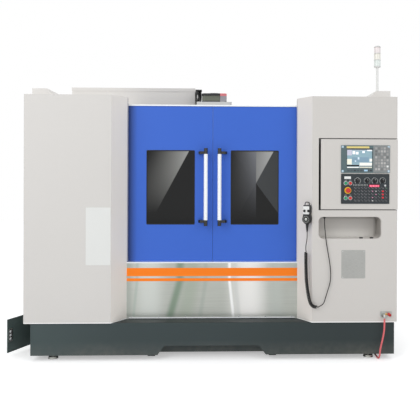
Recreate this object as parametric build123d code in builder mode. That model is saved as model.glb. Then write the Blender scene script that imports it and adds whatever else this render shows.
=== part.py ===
from build123d import *
import os
from math import cos, radians, sin, tan

# Vertical machining centre with sliding doors, a swivelling console and an umbrella tool magazine.
# Frame: X to the operator's right, Y into the machine, Z up. The origin lies on the floor under
# the door seam, at the middle of the footprint. All sizes are in millimetres.

os.makedirs("parts", exist_ok=True)

# Enclosure
FRONT_Y = -1150.0  # front plane of the two hoods
SHEET = 3.0  # wall of the sheet-metal covers
HOOD_HALF = 1500.0  # half of the width over the hoods
HOOD_FOLD_X = 806.0  # where the front of a hood folds back
HOOD_INNER_X = 705.0  # inner edge of a hood, beside the doors
HOOD_CHAMFER = 139.0  # depth of the folded inner strip
HOOD_DEPTH = 192.0
HOOD_BOTTOM = 305.0
HOOD_TOP = 2131.0
HOOD_EDGE_R = 12.0
SIDE_BACK_Y = 700.0  # rear end of the side covers
RIB_TOP = 2209.0  # raised roof rib of a side cover
RIB_INNER_X = 1378.0
RIB_FOOT_X = 1304.0
ROOF_INNER_X = 760.0
ROOF_LIP = 40.0

# Doors
DOOR_DEPTH = 200.0  # door front behind the hoods' front plane
DOOR_THICK = 40.0
DOOR_WIDTH = 740.0
SEAM_HALF = 1.0
TRACK_TOP = 772.0
DOOR_TOP = 2068.0
SEAT = 0.3  # gap of a moving piece over its seat
DOOR_GUIDE_GAP = 4.0
WINDOW_NEAR = 155.0  # window edges, from the seam
WINDOW_FAR = 550.0
WINDOW_LOW = 1083.0
WINDOW_HIGH = 1695.0
WINDOW_R = 6.0
PANE_LAP = 14.0
PANE_THICK = 12.0
HANDLE_X = 57.0
HANDLE_R = 16.0
HANDLE_OFF = 60.0  # tube axis in front of the door
HANDLE_LOW = 1071.0
HANDLE_HIGH = 1715.0
HANDLE_FOOT_X = 118.0
HANDLE_FOOT_H = 22.0
HANDLE_FOOT_INSET = 26.0
HANDLE_FOOT_T = 14.0

# Apron and header
APRON_DEPTH = 139.0
TRACK_DROP = 36.0
HEADER_TOP = 2081.0
HEADER_LIP = 11.0
HEADER_DROP = 34.0

# Base
BASE_LEFT = -1446.0
BASE_RIGHT = 1480.0
BASE_FRONT_IN = 15.0
BASE_BACK_Y = 1000.0
BASE_BOTTOM = 45.0
BASE_TOP = 305.0
BASE_WALL = 4.0
NOTCH_TOP_HALF = 379.0
NOTCH_BOTTOM_HALF = 436.0
NOTCH_HEIGHT = 75.0
TANK_IN = 110.0  # tank front behind the hoods' front plane
TANK_HALF = 1000.0
TANK_LENGTH = 178.0
TANK_BOTTOM = 40.0
TANK_TOP = 270.0
TANK_WALL = 4.0
SKID_HALF_SPAN = 500.0
SKID_WIDTH = 60.0

# Feet
FOOT_R = 40.0
FOOT_PAD = 16.0
FOOT_STUD_R = 12.0
FOOT_NUT_R = 21.0
FOOT_NUT = 14.0
FOOT_TOP = 50.0  # where the nuts carry the castings
CORNER_FOOT_X = 1290.0
CORNER_FOOT_FRONT = 100.0
CORNER_FOOT_BACK_Y = 900.0
FOOT_SHELF = 8.0
BED_FOOT_X = 400.0
BED_FOOT_YS = (-760.0, 60.0, 900.0)

# Base side door, standing ajar
SIDE_DOOR_HINGE_IN = 612.0
SIDE_DOOR_LENGTH = 525.0
SIDE_DOOR_LOW = 30.0
SIDE_DOOR_HIGH = 303.0
SIDE_DOOR_AJAR = 25.0
SIDE_DOOR_OFF = 8.0  # hinge axis outside the base wall
SIDE_DOOR_FOLD = 6.0
SIDE_DOOR_PIN_R = 4.0
SIDE_DOOR_BARREL_R = 6.5
RUNNING = 0.05  # radial clearance of pins in bores
SIDE_LUG_Z = (66.0, 262.0)
SIDE_LUG_H = 18.0
SIDE_BAY_MARGIN = 14.0

# Bed casting
BED_HALF = 480.0
BED_FRONT_Y = -850.0
BED_BACK_Y = 950.0
BED_SHOULDER = 420.0
BED_WAY_IN = 175.0
BED_WAY_OUT = 345.0
BED_TOP = 550.0
TROUGH_HALF = 110.0
TROUGH_FLOOR = 430.0
COLUMN_SEAT_TOP = 620.0
COLUMN_SEAT_HALF = 360.0
BED_POCKET_R = 30.0

# Linear guides
RAIL_W = 45.0
RAIL_H = 38.0
RAIL_WAIST = 32.0
CARRIAGE_W = 120.0
CARRIAGE_LEN = 150.0
CARRIAGE_GAP = 0.3  # carriage to rail, sides and top
CARRIAGE_LIFT = 6.0  # carriage skirt over the rail seat
Y_RAIL_X = 260.0
Y_CARRIAGE_OFF = 185.0

# Spindle axis, table and saddle
SPINDLE_Y = -250.0
TABLE_TOP = 905.0
TABLE_THICK = 90.0
TABLE_LENGTH = 1200.0
TABLE_WIDTH = 600.0
T_SLOTS = 5
T_PITCH = 110.0
T_NECK = 18.0
T_NECK_DEPTH = 20.0
T_HEAD = 30.0
T_HEAD_DEPTH = 12.0
SADDLE_BOTTOM = 610.0
SADDLE_TOP = 760.0
SADDLE_HALF = 790.0
SADDLE_WIDTH = 480.0
SADDLE_TROUGH = 60.0  # depth of the X screw's trough
SADDLE_TROUGH_HALF = 60.0
X_RAIL_OFF = 170.0
X_CARRIAGE_OFF = 150.0
SCREW_R = 20.0
SCREW_END_R = 14.0
Y_SCREW_Z = 520.0
X_SCREW_Z = 758.0
Z_SCREW_Y = 445.0
BEARING_LEN = 34.0
NUT_HALF = 44.0
NUT_LEN = 90.0
MOTOR_HALF = 48.0
MOTOR_LEN = 150.0
MOTOR_CAP = 34.0
MOTOR_CORNER_R = 12.0

# Column
COLUMN_HALF = 300.0
COLUMN_FRONT_Y = 400.0
COLUMN_BACK_LOW_Y = 940.0
COLUMN_BACK_TOP_Y = 820.0
COLUMN_TOP = 2200.0
CHANNEL_HALF = 105.0
CHANNEL_DEPTH = 100.0
CHANNEL_LOW = 900.0
Z_RAIL_X = 200.0
Z_RAIL_LOW = 1120.0
Z_RAIL_HIGH = 2185.0
CORE_MARGIN = 60.0
CORE_DEPTH = 260.0

# Spindle head
NOSE_Z = 1440.0
HEAD_HALF = 165.0
HEAD_FRONT_Y = -415.0
HEAD_TOP = 2184.0
HEAD_BOTTOM = 1560.0
SLIDE_FACE_Y = 330.0  # rear face of the head's slide plate
SLIDE_THICK = 60.0
SLIDE_HALF = 262.0
SLIDE_LOW = 1530.0
SLIDE_HIGH = 2050.0
Z_CARRIAGE_LOW = 1545.0
Z_CARRIAGE_HIGH = 1885.0
QUILL_R = 105.0
QUILL_BOTTOM = 1460.0
SPINDLE_R = 60.0
SPINDLE_TOP = 1760.0
SPINDLE_FLANGE_R = 76.0
TAPER_R = 22.2  # gauge line radius of the 7/24 taper
TAPER_LEN = 65.0
TAPER_SLOPE = 7.0 / 48.0
DRAWBAR_R = 9.0
MOTOR_WELL = 228.0
WELL_GAP = 6.0
SPINDLE_MOTOR_HALF = 118.0
SPINDLE_MOTOR_TOP = 2272.0
SPINDLE_MOTOR_CAP = 20.0
BRACKET_T = 12.0
BRACKET_TOP = HEAD_TOP + 122.0
BRACKET_REACH = 58.0

# Tool magazine
DISC_X = -790.0
DISC_Y = 70.0
DISC_Z = 1600.0
DISC_R = 218.0
DISC_T = 14.0
POCKETS = 16
POCKET_CIRCLE = 252.0
CLAW_INNER_R = 26.8
CLAW_OUTER_R = 37.0
CLAW_T = 9.0
CLAW_PRONG = 22.0
HUB_R = 62.0
HUB_H = 76.0
SHAFT_R = 28.0
ARM_Z = 1705.0
ARM_T = 36.0
ARM_FLANGE = 190.0
ARM_FOOT = 60.0
ARM_BACK = 240.0
MAG_LEFT = -1370.0
MAG_RIGHT = -190.0
MAG_FRONT_Y = -250.0
MAG_BACK_Y = 386.0
MAG_BOTTOM = 1500.0
MAG_TOP = 2335.0
MAG_LID = 32.0
MAG_LID_PROUD = 3.0

# Splash panels
BULKHEAD_Y = 383.0
BULKHEAD_GAP = 18.0
CHUTE_HIGH = 745.0  # a chute's outer edge; its inner edge lies on the bed's shoulder

# Electrical cabinet
CAB_LEFT = 700.0
CAB_RIGHT = 1480.0
CAB_FRONT_Y = 722.0
CAB_BACK_Y = 1168.0
CAB_TOP = 2100.0
CAB_DOOR_T = 20.0
CAB_DOOR_GAP = 2.0
COOLER_OUT = 196.0
COOLER_LOW = 950.0
COOLER_HIGH = 1800.0
COOLER_MARGIN = 80.0
CAB_PIN_R = 5.0
CAB_BARREL_R = 8.0
CAB_LUG = 26.0
CAB_LUG_Z = (520.0, 1780.0)

# Console
CONSOLE_LEFT = 875.0
CONSOLE_LOW = 1219.0
CONSOLE_HIGH = 1786.0
CONSOLE_THICK = 118.0
CONSOLE_PROUD = 4.0  # front face before the hoods' front plane
CONSOLE_RIGHT = HOOD_HALF + 2.0
CONSOLE_BEVEL = 22.0
CONSOLE_WALL = 4.0
POCKET_LEFT = 861.0
POCKET_DEPTH = 135.0
POCKET_GAP = 4.0
PIVOT_X = 868.0
PIVOT_IN = 5.0
PIVOT_R = 4.0
PIVOT_BARREL_R = 6.5
PIVOT_BARREL_H = 42.0
DISPLAY_LEFT = 1037.0
DISPLAY_RIGHT = 1434.0
DISPLAY_LOW = 1514.0
DISPLAY_HIGH = 1736.0
PANEL_LEFT = 1038.0
PANEL_RIGHT = 1430.0
PANEL_LOW = 1264.0
PANEL_HIGH = 1506.0
UNIT_PROUD = 5.0
UNIT_LAP = 7.0
UNIT_FIT = 0.3
DISPLAY_BODY = 55.0
PANEL_BODY = 30.0
SCREEN_X = (1083.0, 1292.0)
SCREEN_Z = (1551.0, 1703.0)
SCREEN_SINK = 3.0
SOFT_KEY_Z = (SCREEN_Z[0] - 27.0, SCREEN_Z[0] - 9.0)

# Switches on the operator panel: place in X and Z, and cap radius
ESTOP = (1092.0, 1372.0)
POWER_ON = (1075.0, 1430.0)
POWER_OFF = (1112.0, 1430.0)
CYCLE_START = (1075.0, 1310.0)
FEED_HOLD = (1112.0, 1310.0)
KNOBS = {"mode_knob": 1171.0, "feed_knob": 1249.0, "rapid_knob": 1311.0, "spindle_knob": 1375.0}
KNOB_Z = 1450.0
BUTTON_R = 12.0
BUTTON_OUT = 9.0
BUTTON_STEM_R = 7.0
BUTTON_SINK = 14.0
ESTOP_R = 20.0
ESTOP_OUT = 26.0
ESTOP_COLLAR_R = 27.0
ESTOP_COLLAR = 5.0
KNOB_R = 17.0
KNOB_OUT = 16.0
KNOB_STEM_R = 4.0
BORE_FIT = 0.1
KEY_PAD_X = (1310.0, 1426.0)
KEY_PAD_Z = (1532.0, 1724.0)
KEY_ROWS = 8
KEY_COLS = 5
KEY_OUT = 1.6
PANEL_KEY_X = (1140.0, 1418.0)
PANEL_KEY_Z = (1276.0, 1404.0)
PANEL_KEY_ROWS = 5
PANEL_KEY_COLS = 10

# Shelf recess of the right hood
RECESS_X = (858.0, 1368.0)
RECESS_Z = (982.0, 1158.0)
RECESS_DEPTH = 158.0
RECESS_R = 39.0

# Hand-held pulse pendant, turned about the upright
MPG_TURN = 30.0
MPG_X = 775.0  # middle of its back
MPG_IN = 17.0
MPG_LOW = 1100.0
MPG_HIGH = 1252.0
MPG_W = 76.0
MPG_D = 35.0
MPG_R = 10.0
MPG_WHEEL_Z = 1139.0
MPG_WHEEL_R = 32.0
MPG_WHEEL_T = 14.0
MPG_KNOB_Z = 1206.0
MPG_KNOB_OFF = 17.0
MPG_KNOB_R = 10.0
MPG_KNOB_OUT = 12.0
MPG_BAIL_W = 48.0
MPG_BAIL_H = 26.0
MPG_BAIL_R = 2.5
MPG_BOOT_LOW = 1037.0
MPG_BOOT_R = 13.0
LEAD_R = 3.75
COIL_R = 13.0
GLAND_R = 8.0
GLAND_LOW = 1138.0

# Air inlet and hose
INLET_X = (HOOD_HALF - 139.0, HOOD_HALF - 46.0)
INLET_Z = (346.0, 394.0)
ELBOW_X = HOOD_HALF - 112.0
ELBOW_R = 11.0
ELBOW_OUT = 28.0
ELBOW_Z = 368.0
ELBOW_LOW = 345.0
HOSE_R = 7.0
COUPLING_R = 12.0
COUPLING_LEN = 58.0

# Signal tower
TOWER_X = HOOD_HALF - 53.0
TOWER_IN = 400.0
TOWER_TOP = 2640.0
TOWER_POLE_R = 11.0
TOWER_LAMP_R = 28.0
TOWER_LAMP = 58.0
TOWER_TIERS = 3


# Routes of the cords, as (x, depth in front of or behind the hoods' front plane, z)
LEAD_ROUTE = [
    (766.25, 1.84, 1037.0),
    (766.25, 1.84, 1000.0),
    (763.0, 1.0, 962.0),
    (755.0, -2.0, 930.0),
    (755.0, -2.0, 895.0),
]
COIL_ROUTE = [
    (755.0, -2.0, 895.0),
    (755.0, -2.0, 835.0),
    (755.5, -4.5, 765.0),
    (757.0, -7.0, 695.0),
    (760.5, -11.0, 628.0),
    (768.0, -17.0, 563.0),
    (778.0, -23.0, 505.0),
    (795.0, -26.0, 449.0),
    (838.0, -26.0, 432.0),
    (866.0, -26.0, 444.0),
]
TAIL_ROUTE = [
    (866.0, -26.0, 444.0),
    (893.0, -26.0, 455.571),
    (909.0, -22.0, 500.0),
    (928.0, -18.0, 560.0),
    (943.0, -16.0, 604.0),
    (953.0, -15.0, 648.0),
    (955.0, -14.5, 708.0),
    (949.5, -14.5, 768.0),
    (940.0, -15.0, 826.0),
    (930.0, -15.5, 884.0),
    (920.5, -15.5, 938.0),
    (914.0, -13.5, 990.0),
    (911.0, -5.0, 1036.0),
    (910.0, 8.5, 1070.0),
    (910.0, 22.0, 1102.0),
    (910.0, 22.0, 1138.0),
]
HOSE_ROUTE = [
    (1388.0, -28.0, 345.0),
    (1388.0, -28.0, 303.0),
    (1385.0, -30.0, 243.0),
    (1374.0, -32.0, 186.0),
    (1360.0, -30.5, 126.0),
    (1353.0, -29.0, 90.0),
    (1351.5, -28.0, 56.4),
    (1351.5, -10.0, 25.2),
    (1352.0, 21.2, 7.3),
    (1353.5, 72.0, 7.2),
    (1357.0, 150.0, 7.2),
    (1362.0, 260.0, 7.2),
    (1369.0, 405.0, 7.2),
    (1374.0, 600.0, 7.2),
    (1375.0, 795.0, 7.2),
    (1371.0, 990.0, 7.2),
    (1363.0, 1185.0, 7.2),
    (1356.0, 1380.0, 7.2),
    (1352.0, 1575.0, 7.2),
    (1351.5, 1770.0, 7.2),
    (1354.0, 1960.0, 7.2),
    (1358.0, 2100.0, 9.0),
    (1361.0, 2190.0, 12.0),
]

# Worked out from the sizes above
HOOD_BACK_Y = FRONT_Y + HOOD_DEPTH
CHAMFER_Y = FRONT_Y + HOOD_CHAMFER
DOOR_Y = FRONT_Y + DOOR_DEPTH
DOOR_BACK_Y = DOOR_Y + DOOR_THICK
DOOR_BOTTOM = TRACK_TOP + SEAT
TRACK_FRONT_Y = DOOR_Y - DOOR_GUIDE_GAP
TRACK_BACK_Y = DOOR_BACK_Y + DOOR_GUIDE_GAP
HANDLE_Y = DOOR_Y - HANDLE_OFF
BASE_FRONT_Y = FRONT_Y + BASE_FRONT_IN
INNER_HALF = HOOD_HALF - SHEET
HINGE_X = BASE_LEFT - SIDE_DOOR_OFF
HINGE_Y = FRONT_Y + SIDE_DOOR_HINGE_IN
TABLE_BOTTOM = TABLE_TOP - TABLE_THICK
CONSOLE_FRONT_Y = FRONT_Y - CONSOLE_PROUD
CONSOLE_BACK_Y = CONSOLE_FRONT_Y + CONSOLE_THICK
PIVOT_Y = FRONT_Y + PIVOT_IN
PANEL_FRONT_Y = CONSOLE_FRONT_Y - UNIT_PROUD
MPG_U = (cos(radians(MPG_TURN)), -sin(radians(MPG_TURN)), 0)
MPG_PLANE = Plane(origin=(MPG_X, FRONT_Y + MPG_IN, 0), x_dir=MPG_U, z_dir=(0, 0, 1))
MPG_FACE = Plane(
    origin=(MPG_X, FRONT_Y + MPG_IN, 0),
    x_dir=MPG_U,
    z_dir=(-sin(radians(MPG_TURN)), -cos(radians(MPG_TURN)), 0),
).offset(MPG_D)


def save(builder, label):
    """Label a finished piece and write its STEP file."""
    builder.part.label = label
    export_step(builder.part, f"parts/{label}.step")


def block(x, y, z, mode=Mode.ADD):
    """Add or cut a block given by its low and high value on each axis."""
    centre = ((x[0] + x[1]) / 2, (y[0] + y[1]) / 2, (z[0] + z[1]) / 2)
    with Locations(centre):
        Box(x[1] - x[0], y[1] - y[0], z[1] - z[0], mode=mode)


def front(depth=0.0):
    """The sketch plane parallel to the machine's front, this far behind the hoods' front plane."""
    return Plane.XZ.offset(-(FRONT_Y + depth))


def at_y(y):
    """The sketch plane parallel to the machine's front at this Y; it extrudes towards the front."""
    return Plane.XZ.offset(-y)


def folded_sheet(points, half_length, plane, thickness=SHEET, side=Side.LEFT):
    """A sheet folded along a profile, of the given half length to both sides of its plane."""
    with BuildSketch(plane) as flat:
        with BuildLine() as profile:
            Polyline(*points)
            offset(profile.line, amount=thickness, kind=Kind.INTERSECTION, side=side)
        make_face()
    extrude(flat.sketch, amount=half_length, both=True)


def guide_rail(plane, length):
    """A guide rail whose section stands on the plane's X axis, along the plane's normal."""
    width, height, waist = RAIL_W, RAIL_H, RAIL_WAIST
    shoulder = height * 0.62
    with BuildSketch(plane) as section:
        with BuildLine():
            Polyline(
                (-width / 2, 0),
                (-width / 2, height * 0.3),
                (-waist / 2, height * 0.42),
                (-waist / 2, shoulder - height * 0.1),
                (-width / 2, shoulder),
                (-width / 2, height),
                (width / 2, height),
                (width / 2, shoulder),
                (waist / 2, shoulder - height * 0.1),
                (waist / 2, height * 0.42),
                (width / 2, height * 0.3),
                (width / 2, 0),
                close=True,
            )
        make_face()
    extrude(section.sketch, amount=length)


def cord(route, radius, name):
    """A plain round cord: straight runs joined by tangent arcs as large as the runs allow."""
    points = [Vector(x, FRONT_Y + depth, z) for x, depth, z in route]
    radii = []
    for before, here, after in zip(points, points[1:], points[2:]):
        turn = radians((here - before).get_angle(after - here))
        radii.append(0.45 * min((here - before).length, (after - here).length) / tan(turn / 2))
    with BuildPart() as piece:
        with BuildLine() as path:
            FilletPolyline(*points, radius=radii)
        with BuildSketch(Plane(origin=points[0], z_dir=points[1] - points[0])):
            Circle(radius)
        sweep(path=path.wire())
    length = path.wire().length
    print(f"{name}: length {length:.0f}, tightest arc {min(radii):.0f}, diameter {2 * radius:.1f}")
    return piece


def servo_motor(plane):
    """A servo motor on a mounting plane: flange, body with rounded corners, encoder cap."""
    body_end = MOTOR_LEN - MOTOR_CAP
    with BuildSketch(plane) as flange:
        RectangleRounded(2 * MOTOR_HALF, 2 * MOTOR_HALF, MOTOR_CORNER_R)
    extrude(flange.sketch, amount=14)
    with BuildSketch(plane.offset(14)) as body:
        RectangleRounded(1.84 * MOTOR_HALF, 1.84 * MOTOR_HALF, MOTOR_CORNER_R)
    extrude(body.sketch, amount=body_end - 14)
    with BuildSketch(plane.offset(body_end)) as cap:
        RectangleRounded(1.5 * MOTOR_HALF, 1.5 * MOTOR_HALF, MOTOR_CORNER_R)
    extrude(cap.sketch, amount=MOTOR_CAP, taper=6)


# Front hoods: folded sheet boxes that are open at the back
def hood_outline(side):
    """Plan of a hood, on the right for side 1 and on the left for side -1."""
    with BuildSketch(Plane.XY.offset(HOOD_BOTTOM)) as plan:
        with BuildLine():
            Polyline(
                (side * HOOD_HALF, HOOD_BACK_Y),
                (side * HOOD_HALF, FRONT_Y),
                (side * HOOD_FOLD_X, FRONT_Y),
                (side * HOOD_INNER_X, CHAMFER_Y),
                (side * HOOD_INNER_X, HOOD_BACK_Y),
                close=True,
            )
        make_face()
        corner = plan.vertices().sort_by(Axis.Y)[:2].sort_by(Axis.X)[-1 if side > 0 else 0]
        fillet(corner, HOOD_EDGE_R)
    extrude(plan.sketch, amount=HOOD_TOP - HOOD_BOTTOM)


with BuildPart() as left_hood:
    hood_outline(-1)
    offset(
        amount=-SHEET,
        openings=left_hood.faces().sort_by(Axis.Y)[-1],
        kind=Kind.INTERSECTION,
    )
save(left_hood, "left_hood")

POCKET_LOW = CONSOLE_LOW - POCKET_GAP
POCKET_HIGH = CONSOLE_HIGH + POCKET_GAP
with BuildPart() as right_hood:
    hood_outline(1)
    block(
        (POCKET_LEFT, HOOD_HALF + 1),
        (FRONT_Y - 1, FRONT_Y + POCKET_DEPTH),
        (POCKET_LOW, POCKET_HIGH),
        mode=Mode.SUBTRACT,
    )
    with BuildSketch(front()):
        with Locations(((RECESS_X[0] + RECESS_X[1]) / 2, (RECESS_Z[0] + RECESS_Z[1]) / 2)):
            RectangleRounded(RECESS_X[1] - RECESS_X[0], RECESS_Z[1] - RECESS_Z[0], RECESS_R)
    extrude(amount=-RECESS_DEPTH, mode=Mode.SUBTRACT)
    offset(
        amount=-SHEET,
        openings=right_hood.faces().sort_by(Axis.Y)[-1],
        kind=Kind.INTERSECTION,
    )
    # Pivot pins of the console, standing from the floor and hanging from the ceiling of its pocket
    with BuildSketch(Plane.XY.offset(POCKET_LOW)):
        with Locations((PIVOT_X, PIVOT_Y)):
            Circle(PIVOT_R)
    extrude(amount=PIVOT_BARREL_H)
    with BuildSketch(Plane.XY.offset(POCKET_HIGH)):
        with Locations((PIVOT_X, PIVOT_Y)):
            Circle(PIVOT_R)
    extrude(amount=-PIVOT_BARREL_H)
    # Wedge on the folded strip that carries the pulse pendant
    chamfer_dir = Vector(HOOD_INNER_X - HOOD_FOLD_X, HOOD_CHAMFER).normalized()
    back_left = MPG_PLANE.from_local_coords(Vector(-MPG_W / 2 + MPG_R, 0, 0))
    back_right = MPG_PLANE.from_local_coords(Vector(MPG_W / 2 - MPG_R, 0, 0))
    fold = Vector(HOOD_FOLD_X, FRONT_Y)
    with BuildSketch(Plane.XY.offset(MPG_LOW + 30)):
        with BuildLine():
            Polyline(
                (back_right.X, back_right.Y),
                tuple(fold + chamfer_dir * 8)[:2],
                tuple(fold + chamfer_dir * 95)[:2],
                (back_left.X, back_left.Y),
                close=True,
            )
        make_face()
    extrude(amount=60)
save(right_hood, "right_hood")


# Side covers: one folded sheet each, with a raised roof rib
def side_cover(side):
    """Wall, roof rib and roof of one side."""
    middle_y = (HOOD_BACK_Y + SIDE_BACK_Y) / 2
    folded_sheet(
        [
            (side * HOOD_HALF, HOOD_BOTTOM),
            (side * HOOD_HALF, RIB_TOP),
            (side * RIB_INNER_X, RIB_TOP),
            (side * RIB_FOOT_X, HOOD_TOP),
            (side * ROOF_INNER_X, HOOD_TOP),
            (side * ROOF_INNER_X, HOOD_TOP - ROOF_LIP),
        ],
        (SIDE_BACK_Y - HOOD_BACK_Y) / 2,
        at_y(middle_y),
        side=Side.LEFT if side > 0 else Side.RIGHT,
    )
    # Plates that close the rib's two ends
    for end_y in (HOOD_BACK_Y + SHEET / 2, SIDE_BACK_Y - SHEET / 2):
        with BuildSketch(at_y(end_y)) as plate:
            Polygon(
                (side * HOOD_HALF, HOOD_TOP - SHEET),
                (side * HOOD_HALF, RIB_TOP),
                (side * RIB_INNER_X, RIB_TOP),
                (side * RIB_FOOT_X, HOOD_TOP),
                (side * RIB_FOOT_X, HOOD_TOP - SHEET),
                align=None,
            )
        extrude(plate.sketch, amount=SHEET / 2, both=True)


with BuildPart() as left_side_cover:
    side_cover(-1)
    block(
        (MAG_LEFT - MAG_LID_PROUD - 1, 0),
        (MAG_FRONT_Y - MAG_LID_PROUD - 1, MAG_BACK_Y + MAG_LID_PROUD + 1),
        (MAG_BOTTOM, MAG_TOP),
        mode=Mode.SUBTRACT,
    )
save(left_side_cover, "left_side_cover")

with BuildPart() as right_side_cover:
    side_cover(1)
save(right_side_cover, "right_side_cover")

# Apron below the doors, with the door track along its upper edge
with BuildPart() as front_apron:
    folded_sheet(
        [
            (FRONT_Y + APRON_DEPTH, HOOD_BOTTOM),
            (FRONT_Y + APRON_DEPTH, TRACK_TOP),
            (TRACK_FRONT_Y + SHEET, TRACK_TOP),
        ],
        HOOD_INNER_X,
        Plane.YZ,
        side=Side.RIGHT,
    )
    folded_sheet(
        [
            (TRACK_FRONT_Y, TRACK_TOP - TRACK_DROP),
            (TRACK_FRONT_Y, TRACK_TOP),
            (TRACK_BACK_Y, TRACK_TOP),
            (TRACK_BACK_Y, TRACK_TOP - TRACK_DROP),
        ],
        INNER_HALF,
        Plane.YZ,
        side=Side.RIGHT,
    )
save(front_apron, "front_apron")

# Header channel that guides the doors' upper edges
with BuildPart() as door_header:
    folded_sheet(
        [
            (TRACK_FRONT_Y, HEADER_TOP - HEADER_LIP),
            (TRACK_FRONT_Y, HEADER_TOP),
            (TRACK_BACK_Y, HEADER_TOP),
            (TRACK_BACK_Y, HEADER_TOP - HEADER_DROP),
        ],
        INNER_HALF,
        Plane.YZ,
        side=Side.RIGHT,
    )
save(door_header, "door_header")

# Splash panels: rear bulkhead with the head's opening, and a sloping chute on each side
with BuildPart() as splash_panels:
    for side in (-1, 1):
        panel_top = MAG_BOTTOM if side < 0 else HOOD_TOP - SHEET
        opening = COLUMN_HALF + BULKHEAD_GAP
        block(
            sorted((side * opening, side * INNER_HALF)),
            (BULKHEAD_Y, BULKHEAD_Y + SHEET),
            (BED_SHOULDER, panel_top),
        )
        block(
            (side * ROOF_INNER_X - 2 * SHEET, side * ROOF_INNER_X + 2 * SHEET),
            (BULKHEAD_Y, BULKHEAD_Y + SHEET),
            (HOOD_TOP - ROOF_LIP - 1, HOOD_TOP),
            mode=Mode.SUBTRACT,
        )
        with BuildSketch(at_y(BULKHEAD_Y)):
            with BuildLine():
                Polyline(
                    (side * BED_HALF, BED_SHOULDER),
                    (side * INNER_HALF, CHUTE_HIGH),
                    (side * INNER_HALF, CHUTE_HIGH - SHEET),
                    (side * BED_HALF, BED_SHOULDER - SHEET),
                    close=True,
                )
            make_face()
        extrude(amount=BULKHEAD_Y - TRACK_BACK_Y)
    block(
        (-BED_HALF, BED_HALF),
        (BULKHEAD_Y, BULKHEAD_Y + SHEET),
        (0, COLUMN_SEAT_TOP),
        mode=Mode.SUBTRACT,
    )
    # The bulkhead closes over the column's front below the rails
    block(
        (-COLUMN_HALF - BULKHEAD_GAP, COLUMN_HALF + BULKHEAD_GAP),
        (BULKHEAD_Y, BULKHEAD_Y + SHEET),
        (COLUMN_SEAT_TOP, CHANNEL_LOW),
    )
save(splash_panels, "splash_panels")

# Base skirt with the front notch, the bed's cut-out and the side bay
with BuildPart() as base_skirt:
    block((BASE_LEFT, BASE_RIGHT), (BASE_FRONT_Y, BASE_BACK_Y), (BASE_BOTTOM, BASE_TOP))
    offset(
        amount=-BASE_WALL,
        openings=base_skirt.faces().sort_by(Axis.Z)[0],
        kind=Kind.INTERSECTION,
    )
    with BuildSketch(at_y(BASE_FRONT_Y)):
        with BuildLine():
            Polyline(
                (-NOTCH_BOTTOM_HALF, BASE_BOTTOM),
                (-NOTCH_TOP_HALF, BASE_BOTTOM + NOTCH_HEIGHT),
                (NOTCH_TOP_HALF, BASE_BOTTOM + NOTCH_HEIGHT),
                (NOTCH_BOTTOM_HALF, BASE_BOTTOM),
                close=True,
            )
        make_face()
    extrude(amount=-BASE_WALL, mode=Mode.SUBTRACT)
    block(
        (-BED_HALF - 20, BED_HALF + 20),
        (BED_FRONT_Y - 90, BASE_BACK_Y - 40),
        (BASE_BOTTOM + BASE_WALL, BASE_TOP),
        mode=Mode.SUBTRACT,
    )
    block(
        (BASE_LEFT, BASE_LEFT + BASE_WALL),
        (HINGE_Y - SIDE_DOOR_LENGTH + SIDE_BAY_MARGIN, HINGE_Y - SIDE_BAY_MARGIN),
        (BASE_BOTTOM + SIDE_BAY_MARGIN, BASE_TOP - SIDE_BAY_MARGIN),
        mode=Mode.SUBTRACT,
    )
    # Shelves over the corner feet
    for side in (-1, 1):
        for wall_y, foot_y in (
            (BASE_FRONT_Y, FRONT_Y + CORNER_FOOT_FRONT),
            (BASE_BACK_Y, CORNER_FOOT_BACK_Y),
        ):
            block(
                (side * CORNER_FOOT_X - FOOT_R, side * CORNER_FOOT_X + FOOT_R),
                sorted((wall_y, foot_y + (FOOT_R if foot_y > wall_y else -FOOT_R))),
                (FOOT_TOP, FOOT_TOP + FOOT_SHELF),
            )
    # Hinge lugs and pin of the side door
    for low in SIDE_LUG_Z:
        block(
            (HINGE_X - SIDE_DOOR_PIN_R, BASE_LEFT),
            (HINGE_Y - SIDE_DOOR_PIN_R, HINGE_Y + SIDE_DOOR_PIN_R),
            (low, low + SIDE_LUG_H),
        )
    with BuildSketch(Plane.XY.offset(SIDE_LUG_Z[0])):
        with Locations((HINGE_X, HINGE_Y)):
            Circle(SIDE_DOOR_PIN_R)
    extrude(amount=SIDE_LUG_Z[1] + SIDE_LUG_H - SIDE_LUG_Z[0])
save(base_skirt, "base_skirt")

# Side door of the base: a shallow pan on a barrel between the lugs, modelled ajar
ajar = radians(SIDE_DOOR_AJAR)
SIDE_DOOR_PLANE = Plane(
    origin=(HINGE_X, HINGE_Y, 0), x_dir=(-sin(ajar), -cos(ajar), 0), z_dir=(0, 0, 1)
)
BARREL_LOW = SIDE_LUG_Z[0] + SIDE_LUG_H + SEAT
BARREL_HIGH = SIDE_LUG_Z[1] - SEAT
with BuildPart(SIDE_DOOR_PLANE) as side_door:
    block(
        (SIDE_DOOR_BARREL_R + 2, SIDE_DOOR_LENGTH),
        (-SHEET, SIDE_DOOR_FOLD),
        (SIDE_DOOR_LOW, SIDE_DOOR_HIGH),
    )
    block(
        (SIDE_DOOR_BARREL_R + 2 + SHEET, SIDE_DOOR_LENGTH - SHEET),
        (0, SIDE_DOOR_FOLD),
        (SIDE_DOOR_LOW + SHEET, SIDE_DOOR_HIGH - SHEET),
        mode=Mode.SUBTRACT,
    )
    block((0, SIDE_DOOR_BARREL_R + 4), (-SHEET, 0), (BARREL_LOW, BARREL_HIGH))
    with Locations((0, 0, (BARREL_LOW + BARREL_HIGH) / 2)):
        Cylinder(SIDE_DOOR_BARREL_R, BARREL_HIGH - BARREL_LOW)
        Cylinder(SIDE_DOOR_PIN_R + RUNNING, BARREL_HIGH - BARREL_LOW, mode=Mode.SUBTRACT)
save(side_door, "side_door")

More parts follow.
